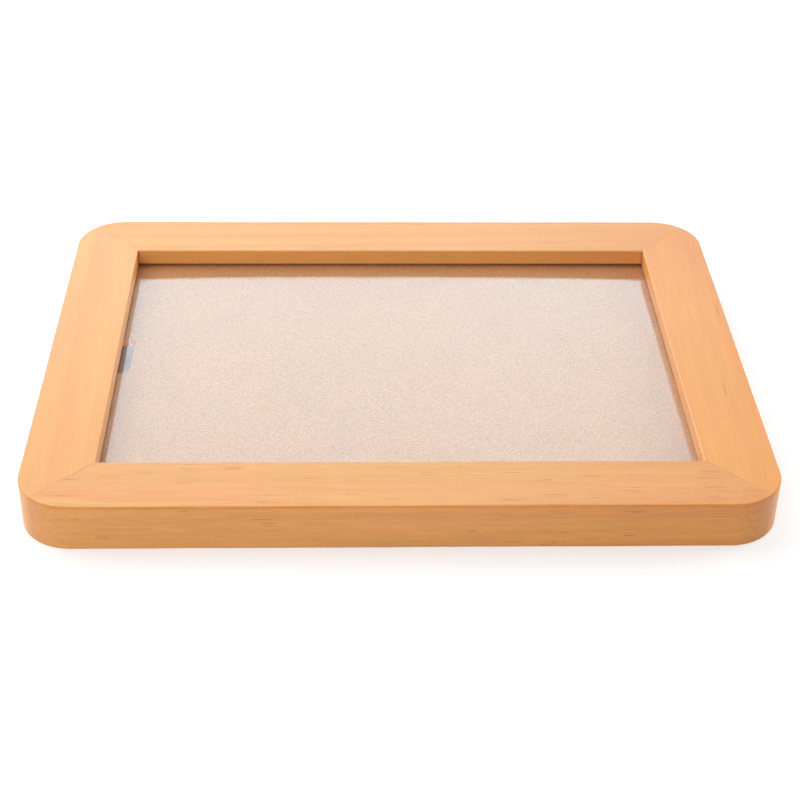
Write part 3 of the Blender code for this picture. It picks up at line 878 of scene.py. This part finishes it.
button_steel = steel_material("button_plating", turn=90, stained=0.12)
BUTTON_SEATS = {}
for side in ("near", "far"):
    for along in (-BUTTON_ALONG, BUTTON_ALONG):
        seat = side_place(side, along, LEDGE_MIDDLE, HARDWARE_SEAT)
        hand = "left" if seat.translation.x < 0 else "right"
        BUTTON_SEATS[side + "_" + hand] = seat
for corner, seat in BUTTON_SEATS.items():
    button_mesh = turn_button_mesh("pressed_button_" + corner)
    button_mesh.transform(seat)
    add_piece(
        "pressed_button_" + corner,
        button_mesh,
        button_steel,
        "button_" + corner,
        ["turn_button_" + corner],
    )


# Button screws. Four small pan-head wood screws of plated steel with crossed slots, the pivots of
# the turn buttons. Their threads bite in the rails, so they stay still while the buttons turn.

HEAD_GAP = 0.0003
SCREW_SEAT = HARDWARE_SEAT - BUTTON_SHEET - HEAD_GAP
SCREW_TURNS = (12, 71, 38, 117)
TIP_RADIUS = 0.00005
TIP_OVERLAP = 0.00002

# The slots' far end, as a share of their reach, and their start, as a share of the head's height
SLOT_TAPER = 0.45
SLOT_START = 1.08


def domed_head(tree, given):
    """A head with its seat on z = 0 and its crown below: a disc rounded by a flattened ball."""
    height = given["Head Height"]
    disc = {"Vertices": 48, "Radius": given["Head Radius"], "Depth": height}
    disc = add_node(tree, "GeometryNodeMeshCylinder", disc).outputs["Mesh"]
    disc = moved(tree, disc, translation=(0.0, 0.0, calculate(tree, "MULTIPLY", height, -0.5)))
    ball = {"Segments": 64, "Rings": 32, "Radius": 1.0}
    ball = add_node(tree, "GeometryNodeMeshUVSphere", ball).outputs["Mesh"]
    ball = moved(tree, ball, scale=(given["Dome Radius"], given["Dome Radius"], height))
    return combine_solids(tree, "INTERSECT", [disc, ball])


def pointed_shank(tree, given):
    """A plain shank from inside the head up to its point."""
    length = calculate(tree, "SUBTRACT", given["Length"], given["Point"])
    body = {"Vertices": 24, "Radius": given["Shank Radius"], "Depth": length}
    body = add_node(tree, "GeometryNodeMeshCylinder", body).outputs["Mesh"]
    body = moved(tree, body, translation=(0.0, 0.0, calculate(tree, "MULTIPLY", length, 0.5)))
    tip = {
        "Vertices": 24,
        "Radius Top": TIP_RADIUS,
        "Radius Bottom": given["Shank Radius"],
        "Depth": given["Point"],
    }
    tip = add_node(tree, "GeometryNodeMeshCone", tip).outputs["Mesh"]
    start = calculate(tree, "SUBTRACT", length, TIP_OVERLAP)
    return [body, moved(tree, tip, translation=(0.0, 0.0, start))]


def screw_tree():
    """A pan-head wood screw, head down: domed head, crossed slots, shank, point and thread."""
    sizes = ("Head Radius", "Head Height", "Dome Radius", "Slot Reach", "Slot Width", "Slot Depth")
    sizes += ("Shank Radius", "Length", "Point", "Thread Pitch", "Thread Depth")
    tree, given, out = fastener_tree("pan_head_screw", sizes)
    head = domed_head(tree, given)
    slots = []
    for turn in (0, math.pi / 2):
        cone = {
            "Vertices": 4,
            "Radius Top": calculate(tree, "MULTIPLY", given["Slot Reach"], SLOT_TAPER),
            "Radius Bottom": given["Slot Reach"],
            "Depth": given["Slot Depth"],
        }
        slot = add_node(tree, "GeometryNodeMeshCone", cone).outputs["Mesh"]
        slot = moved(tree, slot, rotation=(0, 0, math.pi / 4))
        flat = calculate(tree, "DIVIDE", given["Slot Width"], given["Slot Reach"])
        slot = moved(tree, slot, scale=(1.0, flat, 1.0))
        down = calculate(tree, "MULTIPLY", given["Head Height"], -SLOT_START)
        slots.append(moved(tree, slot, rotation=(0, 0, turn), translation=(0.0, 0.0, down)))
    head = combine_solids(tree, "DIFFERENCE", [head], slots)
    threaded = calculate(tree, "SUBTRACT", given["Length"], given["Point"])
    spiral = {
        "Resolution": 20,
        "Rotations": calculate(tree, "DIVIDE", threaded, given["Thread Pitch"]),
        "Start Radius": given["Shank Radius"],
        "End Radius": given["Shank Radius"],
        "Height": threaded,
    }
    spiral = add_node(tree, "GeometryNodeCurveSpiral", spiral).outputs["Curve"]
    ridge = {"Resolution": 3, "Radius": given["Thread Depth"]}
    ridge = add_node(tree, "GeometryNodeCurvePrimitiveCircle", ridge).outputs["Curve"]
    thread = {"Curve": spiral, "Profile Curve": ridge, "Fill Caps": True}
    thread = add_node(tree, "GeometryNodeCurveToMesh", thread).outputs["Mesh"]
    whole = add_node(tree, "GeometryNodeJoinGeometry")
    for part in [head, thread] + pointed_shank(tree, given):
        tree.links.new(part, whole.inputs["Geometry"])
    set_out(tree, given, out, whole.outputs["Geometry"])
    return tree


screw_steel = steel_material(
    "screw_plating",
    bright=(0.62, 0.58, 0.49, 1),
    dull=(0.44, 0.41, 0.34, 1),
    smooth=0.20,
    matt=0.36,
)
screw_places = []
for seat, turn in zip(BUTTON_SEATS.values(), SCREW_TURNS):
    screw_places.append((seat.translation.x, seat.translation.y, SCREW_SEAT, turn))
screw_mesh = run_tree(
    "button_screws",
    screw_tree(),
    points_mesh("screw_places", screw_places),
    screw_steel,
    {
        "Head Radius": 0.0027,
        "Head Height": 0.0014,
        "Dome Radius": 0.00289,
        "Slot Reach": 0.0019,
        "Slot Width": 0.00055,
        "Slot Depth": 0.0011,
        "Shank Radius": 0.0011,
        "Length": 0.0085,
        "Point": 0.0025,
        "Thread Pitch": 0.0011,
        "Thread Depth": 0.00030,
    },
)
add_piece(
    "button_screws",
    screw_mesh,
    screw_steel,
    "frame",
    ["button_screw_" + corner for corner in BUTTON_SEATS],
)


# Toothed hangers. Each is stamped from 0.8 mm plated strip: a pad at each end for its nail, and a
# middle joggled clear of the wood, with teeth that catch a wall nail either way up.

HANGER_WIDTH = 0.0070
HANGER_SHEET = 0.0008
HANGER_RAISE = 0.0012
HANGER_PAD = 0.0070
HANGER_JOGGLE = 0.0020
HANGER_END_RADIUS = 0.0022
HANGER_EDGE = 0.00012
HANGER_SHARP_BEND = math.radians(40)
BEND_STEPS = 8
TOOTH_PITCH = 0.0027
TOOTH_DEPTH = 0.0016
TOOTH_TIP = 0.0004
TOOTH_COUNT = 10
NOTCH_OVERSHOOT = 0.0002
NOTCH_HEIGHT = 0.004


def hanger_blank(name):
    """The bent strip before its teeth are cut, along X with its seat on z = 0."""
    toothed = TOOTH_COUNT * TOOTH_PITCH / 2
    joggled = toothed + HANGER_JOGGLE
    half = joggled + HANGER_PAD
    stations = []
    for step in range(BEND_STEPS + 1):
        share = step / BEND_STEPS
        bent = share * share * (3 - 2 * share)
        stations.append((toothed + HANGER_JOGGLE * share, 0, HANGER_RAISE * (1 - bent)))
    for step in reversed(range(BEND_STEPS + 1)):
        angle = math.pi / 2 * step / BEND_STEPS
        inset = HANGER_END_RADIUS * (1 - math.sin(angle))
        stations.append((half - HANGER_END_RADIUS * (1 - math.cos(angle)), inset, 0))
    stations = [(-x, inset, drop) for x, inset, drop in reversed(stations)] + stations
    shell = bmesh.new()
    edge = HANGER_WIDTH / 2
    loops = []
    for x, inset, drop in stations:
        low, high = inset - edge, edge - inset
        corners = [(x, low, -drop), (x, high, -drop)]
        corners += [(x, high, -drop - HANGER_SHEET), (x, low, -drop - HANGER_SHEET)]
        loops.append([shell.verts.new(corner) for corner in corners])
    shell.faces.new(loops[0])
    shell.faces.new(loops[-1])
    for loop, next_loop in zip(loops, loops[1:]):
        for step in range(4):
            after = (step + 1) % 4
            shell.faces.new((loop[step], loop[after], next_loop[after], next_loop[step]))
    return shell_mesh(name, shell)


def hanger_teeth_tree():
    """A tree that cuts pointed notches in the blank's +Y edge, which leaves the teeth between them."""
    sizes = ("Tooth Pitch", "Tooth Depth", "Tooth Tip", "Tooth Count", "Half Width", "Row Drop")
    tree, given, out = fastener_tree("hanger_teeth", sizes)

    # Each notch is a prism whose triangle is 1.5 deep and root 3 wide before it is scaled
    notch = {"Vertices": 3, "Radius": 1.0, "Depth": NOTCH_HEIGHT}
    notch = add_node(tree, "GeometryNodeMeshCylinder", notch).outputs["Mesh"]
    notch = moved(tree, notch, rotation=(0, 0, -math.pi / 2))
    deep = calculate(tree, "ADD", given["Tooth Depth"], NOTCH_OVERSHOOT)
    wide = calculate(tree, "SUBTRACT", given["Tooth Pitch"], given["Tooth Tip"])
    wide = calculate(tree, "MULTIPLY", wide, calculate(tree, "DIVIDE", deep, given["Tooth Depth"]))
    wide = calculate(tree, "DIVIDE", wide, math.sqrt(3))
    notch = moved(tree, notch, scale=(wide, calculate(tree, "DIVIDE", deep, 1.5), 1.0))

    # They stand in a row along the edge, one more of them than there are teeth
    row = calculate(tree, "MULTIPLY", given["Tooth Pitch"], given["Tooth Count"])
    row = calculate(tree, "MULTIPLY", row, -0.5)
    middle = calculate(tree, "SUBTRACT", NOTCH_OVERSHOOT, calculate(tree, "DIVIDE", deep, 3.0))
    middle = calculate(tree, "ADD", given["Half Width"], middle)
    start = {0: row, 1: middle, 2: calculate(tree, "MULTIPLY", given["Row Drop"], -1.0)}
    start = add_node(tree, "ShaderNodeCombineXYZ", start).outputs[0]
    pitch = add_node(tree, "ShaderNodeCombineXYZ", {0: given["Tooth Pitch"]}).outputs[0]
    count = calculate(tree, "ADD", given["Tooth Count"], 1.0)
    line = {"Count": count, "Start Location": start, "Offset": pitch}
    line = add_node(tree, "GeometryNodeMeshLine", line).outputs["Mesh"]
    notches = {"Points": line, "Instance": notch}
    notches = add_node(tree, "GeometryNodeInstanceOnPoints", notches).outputs[0]
    notches = add_node(tree, "GeometryNodeRealizeInstances", {"Geometry": notches}).outputs[0]
    toothed = combine_solids(tree, "DIFFERENCE", [given["Places"]], [notches])
    real = add_node(tree, "GeometryNodeRealizeInstances", {"Geometry": toothed}).outputs[0]
    coated = add_node(tree, "GeometryNodeSetMaterial", {"Geometry": real, "Material": given["Material"]})
    tree.links.new(coated.outputs[0], out["Pieces"])
    return tree


TEETH = hanger_teeth_tree()
for side, use, turn in (("far", "landscape", 0), ("right", "portrait", 90)):
    name = "stamped_hanger_" + use
    hanger_steel = steel_material("hanger_plating_" + use, turn=turn, stained=0.15)
    hanger_mesh = run_tree(
        name,
        TEETH,
        hanger_blank("hanger_blank_" + use),
        hanger_steel,
        {
            "Tooth Pitch": TOOTH_PITCH,
            "Tooth Depth": TOOTH_DEPTH,
            "Tooth Tip": TOOTH_TIP,
            "Tooth Count": TOOTH_COUNT,
            "Half Width": HANGER_WIDTH / 2,
            "Row Drop": HANGER_RAISE + HANGER_SHEET / 2,
        },
    )
    hanger_mesh.transform(side_place(side, 0, LEDGE_MIDDLE, HARDWARE_SEAT))
    hanger = add_piece(name, hanger_mesh, hanger_steel, "frame", ["hanger_" + use])
    rolled = hanger.modifiers.new("rolled_edges", "BEVEL")
    rolled.width = HANGER_EDGE
    rolled.segments = 2
    rolled.limit_method = "ANGLE"
    rolled.angle_limit = HANGER_SHARP_BEND


# Hanger nails. Two short round nails with low domed heads hold each hanger to its rail. They are
# plated steel wire, driven through the hanger's pads.

NAIL_SEAT = HARDWARE_SEAT - HANGER_SHEET - HEAD_GAP
NAIL_REACH = 0.0190
NAIL_TURN = 30


def nail_tree():
    """A short nail, head down: domed head, shank and point."""
    sizes = ("Head Radius", "Head Height", "Dome Radius", "Shank Radius", "Length", "Point")
    tree, given, out = fastener_tree("domed_nail", sizes)
    whole = add_node(tree, "GeometryNodeJoinGeometry")
    for part in [domed_head(tree, given)] + pointed_shank(tree, given):
        tree.links.new(part, whole.inputs["Geometry"])
    set_out(tree, given, out, whole.outputs["Geometry"])
    return tree


nail_steel = steel_material(
    "nail_plating",
    bright=(0.54, 0.52, 0.48, 1),
    dull=(0.37, 0.355, 0.33, 1),
    smooth=0.24,
    matt=0.40,
    stained=0.3,
)
nail_places = []
for side in ("far", "right"):
    for along in (-NAIL_REACH, NAIL_REACH):
        spot = side_place(side, along, LEDGE_MIDDLE, NAIL_SEAT).translation
        nail_places.append((spot.x, spot.y, spot.z, NAIL_TURN * len(nail_places)))
nail_mesh = run_tree(
    "hanger_nails",
    nail_tree(),
    points_mesh("nail_places", nail_places),
    nail_steel,
    {
        "Head Radius": 0.0017,
        "Head Height": 0.0005,
        "Dome Radius": 0.00175,
        "Shank Radius": 0.00065,
        "Length": 0.0060,
        "Point": 0.0014,
    },
)
nail_nodes = []
for use in ("landscape", "portrait"):
    nail_nodes += ["hanger_nail_" + use + "_first", "hanger_nail_" + use + "_second"]
add_piece("hanger_nails", nail_mesh, nail_steel, "frame", nail_nodes)


# Studio. A pale floor under the frame's back, and a large softbox behind the frame, which the clear
# sheet and the lacquer mirror. Soft lamps at the left, the right, the front and above light the
# frame's face, and one below lights its back.

FLOOR_REACH = 3.0
FLOOR_COLOUR = (0.56, 0.56, 0.56, 1)
FLOOR_LIFT = 0.53
FAR_LIFT = 0.5
FAR_LIFT_START = 0.4
FAR_LIFT_END = 1.6
# Painted shade and light under the frame: its dark floor colour, and the glow seen through the notch,
# darkest beside the rail and paler further in
UNDER_SHADE_COLOUR = (0.14, 0.12, 0.11, 1)
UNDER_INSET = 0.0006
NOTCH_SHADE_END = -0.0862
NOTCH_LIGHT_START = -0.0850
NOTCH_SHADE = (0.02, 0.01, 0.0, 1)
NOTCH_LIGHT = (0.34, 0.24, 0.18, 1)

floor_shell = bmesh.new()
bmesh.ops.create_grid(floor_shell, x_segments=1, y_segments=1, size=FLOOR_REACH)
floor_mesh = bpy.data.meshes.new("studio_floor")
floor_shell.to_mesh(floor_mesh)
floor_shell.free()
floor = bpy.data.objects.new("studio_floor", floor_mesh)
bpy.context.scene.collection.objects.link(floor)
floor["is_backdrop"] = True
pale, tree, ground = new_material("pale_floor")
ground.inputs["Roughness"].default_value = 0.9

# What is seen of the floor is lifted to white, more so far away
ray = add_node(tree, "ShaderNodeLightPath").outputs
seen = calculate(tree, "MAXIMUM", ray["Is Camera Ray"], ray["Is Glossy Ray"])
seen = calculate(tree, "MAXIMUM", seen, ray["Is Transmission Ray"])
lifted = calculate(tree, "MULTIPLY", seen, FLOOR_LIFT)
spot = add_node(tree, "ShaderNodeTexCoord").outputs["Object"]
away = add_node(tree, "ShaderNodeVectorMath", {0: spot}, operation="LENGTH").outputs["Value"]
away = ramp(tree, away, FAR_LIFT_START, FAR_LIFT_END, 0.0, FAR_LIFT)
lifted = calculate(tree, "MULTIPLY_ADD", ray["Is Camera Ray"], away, lifted)

# Under the frame the floor is painted dark, a painted shade, and seen through the board's notch it
# glows with painted light, darkest beside the rail. It lets the lower lamp's light through to the
# frame's back.
spot = add_node(tree, "ShaderNodeSeparateXYZ", {0: spot}).outputs
past = []
for axis, half in (("X", FRAME_LENGTH / 2), ("Y", FRAME_HEIGHT / 2)):
    beyond = calculate(tree, "SUBTRACT", calculate(tree, "ABSOLUTE", spot[axis]), half - CORNER_RADIUS)
    beyond = calculate(tree, "MAXIMUM", beyond, 0.0)
    past.append(calculate(tree, "POWER", beyond, 2.0))
reach = calculate(tree, "SQRT", calculate(tree, "ADD", *past))
under = calculate(tree, "LESS_THAN", reach, CORNER_RADIUS - UNDER_INSET)
colour = blend_colours(tree, under, FLOOR_COLOUR, UNDER_SHADE_COLOUR)
tree.links.new(colour, ground.inputs["Base Color"])
notch_light_and_shade = ramp(tree, spot["X"], NOTCH_SHADE_END, NOTCH_LIGHT_START)
notch_light_and_shade = blend_colours(tree, notch_light_and_shade, NOTCH_SHADE, NOTCH_LIGHT)
lift = blend_colours(tree, under, (1.0, 1.0, 1.0, 1), notch_light_and_shade)
lift = add_node(tree, "ShaderNodeEmission", {"Color": lift, "Strength": lifted})
both = add_node(tree, "ShaderNodeAddShader", {0: ground.outputs[0], 1: lift.outputs[0]})
passing = calculate(tree, "SUBTRACT", ray["Is Glossy Ray"], ray["Is Transmission Ray"])
passing = calculate(tree, "MAXIMUM", passing, ray["Is Diffuse Ray"])
passing = calculate(tree, "MAXIMUM", passing, ray["Is Shadow Ray"])
through = calculate(tree, "MULTIPLY", under, passing)
from_below = add_node(tree, "ShaderNodeNewGeometry").outputs["Backfacing"]
through = calculate(tree, "MAXIMUM", through, from_below)
clear = add_node(tree, "ShaderNodeBsdfTransparent")
shown = add_node(tree, "ShaderNodeMixShader", {0: through, 1: both.outputs[0], 2: clear.outputs[0]})
tree.links.new(shown.outputs[0], tree.nodes["Material Output"].inputs["Surface"])
floor_mesh.materials.append(pale)

# The softbox's sides, in degrees: where each one's soft edge starts and where it ends
BOX_LEFT = (-60, -44)
BOX_RIGHT = (8, 34)
BOX_LOW = (3, 12)
BOX_HIGH = (36, 56)


def softbox_group():
    """How much of the softbox there is in a direction, with soft edges."""
    tree, given, out = new_group("softbox", {"Direction": ("Vector", None)}, {"Share": "Float"})
    towards = add_node(tree, "ShaderNodeSeparateXYZ", {0: given["Direction"]}).outputs
    azimuth = calculate(tree, "ARCTAN2", towards["X"], towards["Y"])
    elevation = calculate(tree, "ARCSINE", towards["Z"])
    left = ramp(tree, azimuth, *map(math.radians, BOX_LEFT))
    right = ramp(tree, azimuth, *map(math.radians, BOX_RIGHT), 1.0, 0.0)
    low = ramp(tree, elevation, *map(math.radians, BOX_LOW))
    high = ramp(tree, elevation, *map(math.radians, BOX_HIGH), 1.0, 0.0)
    share = calculate(tree, "MULTIPLY", calculate(tree, "MULTIPLY", left, right), low)
    tree.links.new(calculate(tree, "MULTIPLY", share, high), out["Share"])
    return tree


SOFTBOX = softbox_group()

# The sky is white where it is seen or mirrored, and weaker where it only lights. There the softbox
# adds its glow.
SKY_LIGHT = 0.27
SKY_SEEN = 1.0
BOX_LIGHT = 2.15
BOX_COLOUR = (0.53, 0.86, 1.0, 1)

world = bpy.data.worlds.new("studio")
bpy.context.scene.world = world
world.use_nodes = True
tree = world.node_tree
sky = tree.nodes["Background"]
sky.inputs["Color"].default_value = (1, 1, 1, 1)
direction = add_node(tree, "ShaderNodeTexCoord").outputs["Generated"]
softbox = add_node(tree, "ShaderNodeGroup", {"Direction": direction}, node_tree=SOFTBOX).outputs["Share"]
ray = add_node(tree, "ShaderNodeLightPath").outputs
seen = calculate(tree, "MAXIMUM", ray["Is Glossy Ray"], ray["Is Transmission Ray"])
seen = calculate(tree, "MAXIMUM", seen, ray["Is Camera Ray"])
tree.links.new(ramp(tree, seen, 0.0, 1.0, SKY_LIGHT, SKY_SEEN), sky.inputs["Strength"])
unseen = calculate(tree, "SUBTRACT", 1.0, seen)
glow = calculate(tree, "MULTIPLY", calculate(tree, "MULTIPLY", softbox, unseen), BOX_LIGHT)
box = add_node(tree, "ShaderNodeBackground", {"Color": BOX_COLOUR, "Strength": glow})
lit = add_node(tree, "ShaderNodeAddShader", {0: sky.outputs[0], 1: box.outputs[0]})
tree.links.new(lit.outputs[0], tree.nodes["World Output"].inputs["Surface"])

# What the sheet and the lacquer mirror of the softbox is a card with a lamp of its own. Its colour
# is close to the board's, so that the board's grain stays clear where the two are seen together.
CARD_DISTANCE = 2.5
CARD_AZIMUTH = (-62, 32)
CARD_ELEVATION = (1, 58)
CARD_ROWS = 24
CARD_COLUMNS = 40
CARD_LAMP_HEIGHT = 0.12

card_shell = bmesh.new()
rows = []
for row in range(CARD_ROWS + 1):
    low, high = CARD_ELEVATION
    up = math.radians(low + (high - low) * row / CARD_ROWS)
    line = []
    for column in range(CARD_COLUMNS + 1):
        left, right = CARD_AZIMUTH
        turn = math.radians((right - left) * column / CARD_COLUMNS + left)
        spot = Vector((math.cos(up) * math.sin(turn), math.cos(up) * math.cos(turn), math.sin(up)))
        line.append(card_shell.verts.new(CARD_DISTANCE * spot))
    rows.append(line)
for lower, upper in zip(rows, rows[1:]):
    for column in range(CARD_COLUMNS):
        after = column + 1
        card_shell.faces.new((lower[after], lower[column], upper[column], upper[after]))
card_mesh = bpy.data.meshes.new("softbox_card")
card_shell.to_mesh(card_mesh)
card_shell.free()
card_mesh.shade_smooth()
box_card = bpy.data.objects.new("softbox_card", card_mesh)
bpy.context.scene.collection.objects.link(box_card)
box_card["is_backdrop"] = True
box_card.visible_camera = False
box_card.visible_diffuse = False
box_card.visible_shadow = False
card_paper, tree, paper = new_material("softbox_card")
paper.inputs["Base Color"].default_value = (0.58, 0.30, 0.14, 1)
paper.inputs["Roughness"].default_value = 1.0
paper.inputs["Specular IOR Level"].default_value = 0.0
direction = add_node(tree, "ShaderNodeTexCoord").outputs["Object"]
direction = add_node(tree, "ShaderNodeVectorMath", {0: direction}, operation="NORMALIZE").outputs[0]
softbox = add_node(tree, "ShaderNodeGroup", {"Direction": direction}, node_tree=SOFTBOX).outputs["Share"]
clear = add_node(tree, "ShaderNodeBsdfTransparent")
shown = add_node(tree, "ShaderNodeMixShader", {0: softbox, 1: clear.outputs[0], 2: paper.outputs[0]})
tree.links.new(shown.outputs[0], tree.nodes["Material Output"].inputs["Surface"])
card_mesh.materials.append(card_paper)

card_light = bpy.data.lights.new("softbox_lamp", "POINT")
card_light.energy = 5180
card_light.color = (0.152, 0.395, 0.98)
card_light.shadow_soft_size = 0.05
card_lamp = bpy.data.objects.new("softbox_lamp", card_light)
card_lamp.location = (0, 0, CARD_LAMP_HEIGHT)
card_lamp.visible_camera = False
card_lamp.visible_glossy = False
bpy.context.scene.collection.objects.link(card_lamp)
card_alone = bpy.data.collections.new("lit_by_softbox_lamp")
card_alone.objects.link(box_card)
card_lamp.light_linking.receiver_collection = card_alone


def soft_lamp(name, power, size, place, mirrored=False):
    """A square lamp, aimed at the frame, that the camera doesn't see and gloss needn't mirror."""
    data = bpy.data.lights.new(name, "AREA")
    data.energy = power
    data.size = size
    lamp = bpy.data.objects.new(name, data)
    lamp.location = place
    lamp.rotation_euler = (-Vector(place)).to_track_quat("-Z", "Y").to_euler()
    lamp.visible_camera = False
    lamp.visible_glossy = mirrored
    lamp.visible_transmission = mirrored
    bpy.context.scene.collection.objects.link(lamp)


soft_lamp("left_lamp", power=5.0, size=0.8, place=(-0.85, 0.35, 0.42))
soft_lamp("right_lamp", power=8.8, size=0.8, place=(1.0, 0.42, 0.38))
soft_lamp("front_lamp", power=2.85, size=0.6, place=(-0.22, -0.66, 0.20))
soft_lamp("top_lamp", power=4.0, size=0.9, place=(-0.5, 0.3, 0.9))
soft_lamp("under_lamp", power=5.0, size=1.5, place=(-0.35, 0.4, -0.8), mirrored=True)

lens = bpy.data.cameras.new("camera")
lens.lens = 76.605
lens.sensor_width = 36
lens.clip_start = 0.01
lens.clip_end = 20
camera = bpy.data.objects.new("camera", lens)
camera.location = (-0.0156, -0.4418, 0.2972)
camera.rotation_euler = [math.radians(angle) for angle in (55.577, -0.931, -1.588)]
bpy.context.scene.collection.objects.link(camera)
bpy.context.scene.camera = camera
bpy.context.scene.view_settings.view_transform = "Standard"

low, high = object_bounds()
